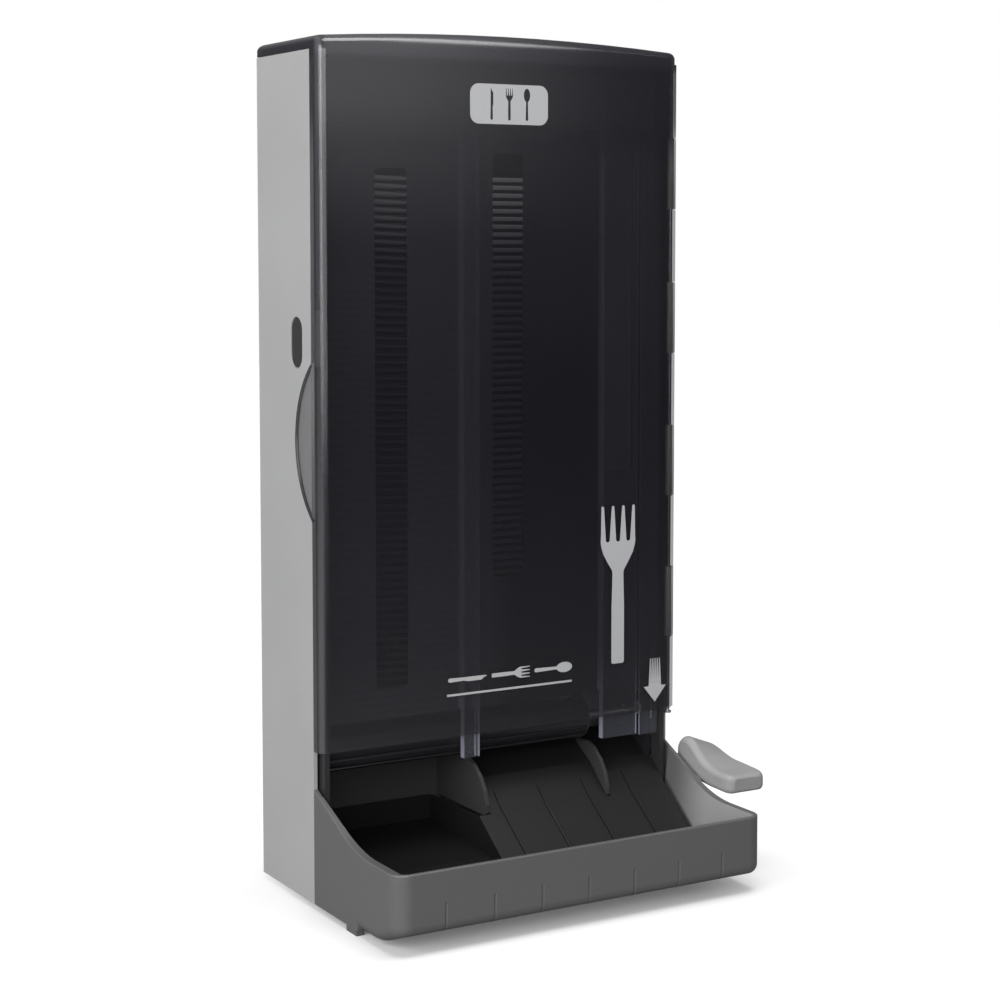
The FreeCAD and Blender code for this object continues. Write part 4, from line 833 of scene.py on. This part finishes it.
@dataclass
class Cutlery:
    """Silhouettes of a fork, a knife and a spoon, drawn upright from their handles' ends, in millimetres."""

    length: float = 122.2
    handle: float = 11.4
    head: float = 31.6
    tip: float = 2.3
    tine_root: float = 94.4
    gap: float = 1.8
    neck: float = 71.2
    corner: float = 1.7

    def fork(self) -> list[Point2]:
        """A four-tined fork, tines upwards."""
        half, grip, tip = self.head / 2, self.handle / 2, self.tip / 2
        corner, gap, last = self.corner, self.gap, 3
        foot = arc((corner - grip, corner), corner, 180.0, 270.0, 4)
        foot += arc((grip - corner, corner), corner, 270.0, 360.0, 4)
        right = [(grip, self.neck * 0.6), (grip * 0.87, self.neck - 1.0), (grip * 0.95, self.neck + 1.2)]
        right += [(half * 0.62, self.neck + 8.0), (half * 0.86, self.neck + 14.6)]
        right += [(half * 0.97, self.neck + 20.0), (half, self.tine_root)]
        right += [(half * 0.985, self.tine_root + 6.0)]
        tines = []
        pitch = (self.head - self.tip * 1.5) / last
        for index in range(last + 1):
            middle = pitch * (last / 2 - index)
            tines += arc((middle, self.length - tip), tip, 0.0, 180.0, 6)
            if index < last:
                tines += arc((middle - pitch / 2, self.tine_root + gap), gap, 0.0, -180.0, 6)
        return foot + right + tines + [(-u, v) for u, v in reversed(right)]

    def knife(self) -> list[Point2]:
        """A table knife, point upwards."""
        grip, curve = self.handle / 2, 12.0
        blade, waist, shoulder = grip * 1.3, grip * 0.8, self.neck * 0.7
        points = arc((0.0, grip), grip, 180.0, 360.0, 10)
        points += [(waist, shoulder), (blade, self.neck * 0.85)]
        points += arc((blade - curve, self.length - 22.0), curve, 0.0, 60.0, 6)
        points += [(-grip * 0.4, self.length), (-waist, self.length - 6), (-waist, shoulder)]
        return points

    def spoon(self) -> list[Point2]:
        """A spoon, bowl upwards."""
        grip, waist, half = self.handle / 2, self.handle * 0.35, self.head * 0.46
        middle, reach = (self.length + self.neck) / 2 + 1, (self.length - self.neck) / 2
        handle = arc((0.0, grip), grip, 180.0, 360.0, 10)
        bowl = [(u * half, middle + v * reach) for u, v in arc((0.0, 0.0), 1.0, -70.0, 250.0, 28)]
        return handle + [(waist, self.neck)] + bowl + [(-waist, self.neck)]


@dataclass
class Cover:
    """The hinged see-through door with its catch, pin and printed marks, in millimetres."""

    face: float = 102.0
    ink: float = 0.12
    ink_gap: float = 0.03
    fork_place: Point2 = (99.2, 151.9)
    arrow_place: Point2 = (134.0, 118.2)
    badge_place: Point2 = (2.5, 575.5)
    row_place: Point2 = (2.5, 142.0)

    def dress(self) -> None:
        """Finishes the door's CAD nodes."""
        dress_node("front_cover", Finish.COVER)
        dress_node("cover_catch", Finish.CATCH)
        dress_node("hinge_pin", Finish.STEEL_PIN)

    def print_plate(self, name: str, outlines: Sequence[Sequence[Point2]]) -> None:
        """A thin printed mark on the door's face.

        Args:
            name: The mark's name.
            outlines: Its closed outlines as X and height in millimetres.
        """
        mesh = plate_mesh(outlines, self.ink, self.ink * 0.25)
        middle = self.face + self.ink / 2 + self.ink_gap
        places = [at(v.co.x, middle + v.co.z, v.co.y) for v in mesh.vertices]
        new_piece(name, places, faces_of(mesh), Finish.INK, "cover")
        bpy.data.meshes.remove(mesh)

    def build(self) -> None:
        """Prints the marks: a large fork, an arrow, a badge and a row of cutlery."""
        x, z = self.fork_place
        self.print_plate("cover_print_fork", [[(x + u, z + v) for u, v in Cutlery().fork()]])
        self.print_plate("cover_print_arrow", self.arrow())
        self.print_plate("cover_print_badge", self.badge())
        self.print_plate("cover_print_row", self.row())

    def arrow(self) -> list[list[Point2]]:
        """An arrow that points down to the tray, its shaft split into bars that thin out upwards."""
        x, z = self.arrow_place
        half, wing, bars = 5.7, 10.4, 6
        barb, neck, root, foot, top = z + 12.5, z + 12.7, z + 15.2, z + 15.3, z + 34.3
        head = [(x, z), (x + wing, barb), (x + half, neck), (x + half, root)]
        head += [(x - half, root), (x - half, neck), (x - wing, barb)]
        shapes = [head]
        pitch, wide, thin, gathered = 2 * half / bars, 0.9, 0.28, 0.9
        for index in range(bars):
            low = x + (index + 0.5) * pitch - half
            high = x + (index + 0.5 - bars / 2) * pitch * gathered
            shapes.append([(low - wide, foot), (low + wide, foot), (high + thin, top), (high - thin, top)])
        return shapes

    def badge(self) -> list[list[Point2]]:
        """A plain rounded badge with a knife, a fork and a spoon left out of it."""
        x, z = self.badge_place
        wide, tall, corner = 33.0, 14.5, 7.0
        scale, pitch, foot = 0.19, 15.0, z - 11.5
        rim = []
        for side_x, side_z, start in ((1, 1, 0.0), (-1, 1, 90.0), (-1, -1, 180.0), (1, -1, 270.0)):
            centre = (x + side_x * (wide - corner), z + side_z * (tall - corner))
            rim += arc(centre, corner, start, start + 90.0, 6)
        shapes = [rim]
        small = Cutlery()
        for drawing, middle in ((small.knife(), x - pitch), (small.fork(), x), (small.spoon(), x + pitch)):
            shapes.append([(middle + u * scale, foot + v * scale) for u, v in drawing])
        return shapes

    def row(self) -> list[list[Point2]]:
        """A row of lying cutlery over a thin line."""
        x, z = self.row_place
        scale, pitch, rise = 0.27, 37.0, 12.0
        left, right, top = x - 53.0, x + 55.0, z + 1.6
        small = Cutlery()
        shapes = []
        for index, drawing in enumerate((small.knife(), small.fork(), small.spoon())):
            start = left + 1.0 + pitch * index
            shapes.append([(start + v * scale, z + rise - u * scale) for u, v in drawing])
        shapes.append([(left, z), (right, z), (right, top), (left, top)])
        return shapes


@dataclass
class Latch:
    """The sprung button in the left wall."""

    edge: float = 0.5

    def dress(self) -> None:
        """Finishes the button, its bracket and its spring."""
        soften(dress_node("latch_button", Finish.LATCH), self.edge)
        dress_node("latch_bracket", Finish.LATCH)
        dress_node("latch_spring", Finish.STEEL)


@dataclass
class Lanes:
    """The uprights, the slotted panel and the clear guides."""

    edge: float = 0.35

    def dress(self) -> None:
        """Finishes the nodes behind the door."""
        dress_node("inner_panel", Finish.PANEL)
        for node in ("left_guide_strip", "right_guide_panel", "right_guide_strip", "guide_rail"):
            dress_node(node, Finish.GUIDE)
        dress_node("magazine_channel", Finish.CHANNEL)
        for node in ("left_post", "right_post"):
            soften(dress_node(node, Finish.POST), self.edge)


@dataclass
class ForkStack:
    """The stack of nested forks in the magazine, in millimetres."""

    length: float = 185.0
    handle: float = 12.0
    head: float = 27.0
    waist: float = 3.4
    tine: float = 3.4
    tine_root: float = 42.0
    thickness: float = 2.2
    rim: float = 0.5
    pitch: float = 5.8
    count: int = 69
    left: float = -115.5
    middle: float = 70.0
    low: float = 125.5

    def outline(self) -> list[Point2]:
        """One fork seen from above, its tines at X 0 and its handle's end at its length."""
        half, grip, root, last = self.head / 2, self.handle / 2, self.tine_root, 3
        pitch = (self.head - self.tine) / last
        gap = (pitch - self.tine) / 2
        tines = []
        for index in range(last + 1):
            middle = half - self.tine / 2 - pitch * index
            tines += [(-u, v) for u, v in arc((-self.tine / 2, middle), self.tine / 2, 90.0, -90.0, 4)]
            if index < last:
                tines += arc((root - gap, middle - pitch / 2), gap, 90.0, -90.0, 4)
        side = [(root + 4, half), (root + 13, half * 0.88), (root + 22, half * 0.55)]
        neck, steps = root + 34, 16
        run, spread = self.length - neck - 4, grip - self.waist
        side += [(neck + run * i / steps, self.waist + spread * i / steps) for i in range(steps)]
        end = arc((self.length - grip, 0.0), grip, -90.0, 90.0, 10)
        return tines + [(x, -y) for x, y in side] + end + side[::-1]

    def rise(self, x: float) -> float:
        """How far a fork is bent upwards at a place along it.

        Args:
            x: Millimetres from the tines' tips.

        Returns:
            The rise in millimetres.
        """
        tips, bow = 2.3, 1.1
        tines = max(0.0, 1.0 - x / self.tine_root)
        body = min(1.0, max(0.0, (x - self.tine_root) / (self.length - self.tine_root)))
        return tips * tines**1.6 + bow * math.sin(math.pi * body)

    def build(self) -> None:
        """Makes the forks and puts them in the node's place."""
        mesh = plate_mesh([self.outline()], self.thickness, self.rim)
        single = [(v.co.x, v.co.y, v.co.z + self.thickness / 2 + self.rise(v.co.x)) for v in mesh.vertices]
        faces = faces_of(mesh)
        bpy.data.meshes.remove(mesh)
        points, all_faces = [], []
        for index in range(self.count):
            base, height = len(points), self.low + self.pitch * index
            points += [at(self.left + x, self.middle - y, height + z) for x, y, z in single]
            all_faces += [tuple(base + i for i in face) for face in faces]
        stack = new_piece("moulded_fork_stack", points, all_faces, Finish.FORK, "housing")
        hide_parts("fork_stack")


@dataclass
class Dispensing:
    """The drum, its bearings, the gear train and the plate that carries it."""

    edge: float = 0.4

    def dress(self) -> None:
        """Finishes the drum and the gears."""
        soften(dress_node("dispensing_drum", Finish.DRUM), self.edge)
        dress_node("drum_end_disc", Finish.CHUTE)
        dress_node("drum_shaft", Finish.STEEL)
        dress_node("drum_bracket_left", Finish.DRUM)
        dress_node("drive_plate", Finish.DRUM)
        for node in ("drum_bush_left", "drum_bush_right", "drum_pinion", "idler_gear", "sector_gear"):
            dress_node(node, Finish.GEAR)
        dress_node("idler_axle", Finish.STEEL)


@dataclass
class Lever:
    """The hand lever and what it turns on."""

    def dress(self) -> None:
        """Finishes the lever, its shaft and its small parts."""
        dress_node("press_lever", Finish.LEVER)
        dress_node("lever_bush", Finish.GEAR)
        for node in ("lever_shaft", "shaft_clip", "return_spring", "lever_washer", "lever_screw"):
            dress_node(node, Finish.STEEL)


@dataclass
class Tray:
    """The open tub, its black liner, the chute behind it and the cradle under it."""

    edge: float = 0.5
    chute_edge: float = 0.8

    def dress(self) -> None:
        """Finishes the tray's CAD nodes and softens the edges of all but the shell."""
        dress_node("tray_shell", Finish.TRAY)
        soften(dress_node("base_cradle", Finish.TRAY), self.edge)
        soften(dress_node("tray_liner", Finish.LINER), self.edge)
        soften(dress_node("chute_frame", Finish.CHUTE), self.chute_edge, 3)


@dataclass
class Fasteners:
    """The four groups of screws."""

    def dress(self) -> None:
        """Finishes the screws."""
        for node in ("panel_screws", "drive_plate_screws", "cradle_screws", "latch_screws"):
            dress_node(node, Finish.STEEL)


# ---------------------------------------------------------------- studio


@dataclass
class Softbox:
    """A soft rectangular lamp; its place and size are in metres and its power in watts."""

    name: str
    place: Point3
    aim: Point3
    size: Point2
    power: float

    def build(self) -> None:
        """Hangs the lamp."""
        lamp = bpy.data.lights.new(self.name, "AREA")
        lamp.shape = "RECTANGLE"
        lamp.size, lamp.size_y = self.size
        lamp.energy = self.power
        thing = bpy.data.objects.new(self.name, lamp)
        thing.location = self.place
        thing.rotation_euler = (Vector(self.aim) - Vector(self.place)).to_track_quat("-Z", "Y").to_euler()
        bpy.context.scene.collection.objects.link(thing)


@dataclass
class Studio:
    """The pale floor, the white surroundings, the lamps and the camera, in metres and degrees."""

    floor_height: float = -0.0042
    floor_half: float = 6.0
    ambient: float = 0.17
    floor_glow: float = 1.06
    near_share: float = 0.09
    bounce: float = 0.25
    shadow_middle: Point3 = (-0.03, -0.13, 0.0)
    shadow_fade: Point2 = (0.13, 0.32)
    lens: float = 76.14
    sensor: float = 36.0
    shift: float = -0.1
    near: float = 0.05
    eye: Point3 = (-0.7878, -1.3706, 0.4778)
    yaw: float = 30.212
    pitch: float = 4.366

    def eye_rays(self, graph: Graph) -> Value:
        """1 for what the eye sees directly."""
        return graph.node("ShaderNodeLightPath", output="Is Camera Ray")

    def build_floor(self) -> None:
        """Lays the floor: the object's soft shadow near it, and even white further off."""
        half, z = self.floor_half, self.floor_height
        mesh = bpy.data.meshes.new("floor")
        corners = [(-half, -half, z), (half, -half, z), (half, half, z), (-half, half, z)]
        mesh.from_pydata(corners, [], [(0, 1, 2, 3)])
        floor = bpy.data.objects.new("floor", mesh)
        bpy.context.scene.collection.objects.link(floor)
        material = bpy.data.materials.new("floor_white")
        material.use_nodes = True
        graph = Graph(material.node_tree)
        seen = self.eye_rays(graph)
        pale = graph.blend(seen, (self.bounce,) * 3, WHITE[:3])
        matte = graph.node("ShaderNodeBsdfDiffuse", sockets={"Color": pale})
        glow = graph.node("ShaderNodeEmission", sockets={"Color": WHITE, "Strength": self.floor_glow})
        clear = graph.distance(self.shadow_middle).ramp(*self.shadow_fade)
        share = seen * (clear * (1.0 - self.near_share) + self.near_share)
        mixed = graph.node("ShaderNodeMixShader", sockets={0: share, 1: matte, 2: glow})
        graph.node("ShaderNodeOutputMaterial", sockets={"Surface": mixed})
        mesh.materials.append(material)

    def build_world(self) -> None:
        """Surrounds the object with white that lights it only softly."""
        world = bpy.data.worlds.new("surroundings")
        bpy.context.scene.world = world
        world.use_nodes = True
        graph = Graph(world.node_tree)
        strength = self.eye_rays(graph) * (1.0 - self.ambient) + self.ambient
        glow = graph.node("ShaderNodeBackground", sockets={"Color": WHITE, "Strength": strength})
        graph.node("ShaderNodeOutputWorld", sockets={"Surface": glow})

    def build_lamps(self) -> None:
        """Hangs a wide lamp in front on the left, one beside the object and one above it."""
        middle = (0.0, 0.0, 0.3)
        Softbox("front_left_lamp", (-1.53, -1.58, 0.85), middle, (2.75, 1.5), 41.0).build()
        Softbox("left_lamp", (-2.15, -0.45, 1.0), middle, (1.1, 1.7), 23.5).build()
        Softbox("top_lamp", (0.1, -0.3, 2.3), middle, (1.8, 1.2), 34.0).build()

    def build_camera(self) -> None:
        """Sets up the eye."""
        lens = bpy.data.cameras.new("eye")
        lens.lens = self.lens
        lens.sensor_width = self.sensor
        lens.sensor_fit = "HORIZONTAL"
        lens.shift_y = self.shift
        lens.clip_start = self.near
        camera = bpy.data.objects.new("eye", lens)
        camera.location = self.eye
        camera.rotation_euler = (math.radians(90.0 - self.pitch), 0.0, math.radians(-self.yaw))
        bpy.context.scene.collection.objects.link(camera)
        bpy.context.scene.camera = camera

    def build(self) -> None:
        """Builds the whole studio."""
        self.build_floor()
        self.build_world()
        self.build_lamps()
        self.build_camera()
        bpy.context.scene.view_settings.view_transform = "Standard"


def main() -> None:
    """Dresses every sub-assembly and sets up the studio."""
    logging.basicConfig(level=logging.INFO, format="%(name)s: %(message)s")
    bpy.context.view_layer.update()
    Housing().dress()
    cover = Cover()
    cover.dress()
    cover.build()
    Latch().dress()
    Lanes().dress()
    ForkStack().build()
    Dispensing().dress()
    Lever().dress()
    Tray().dress()
    Fasteners().dress()
    Studio().build()


if __name__ == "__main__":
    main()
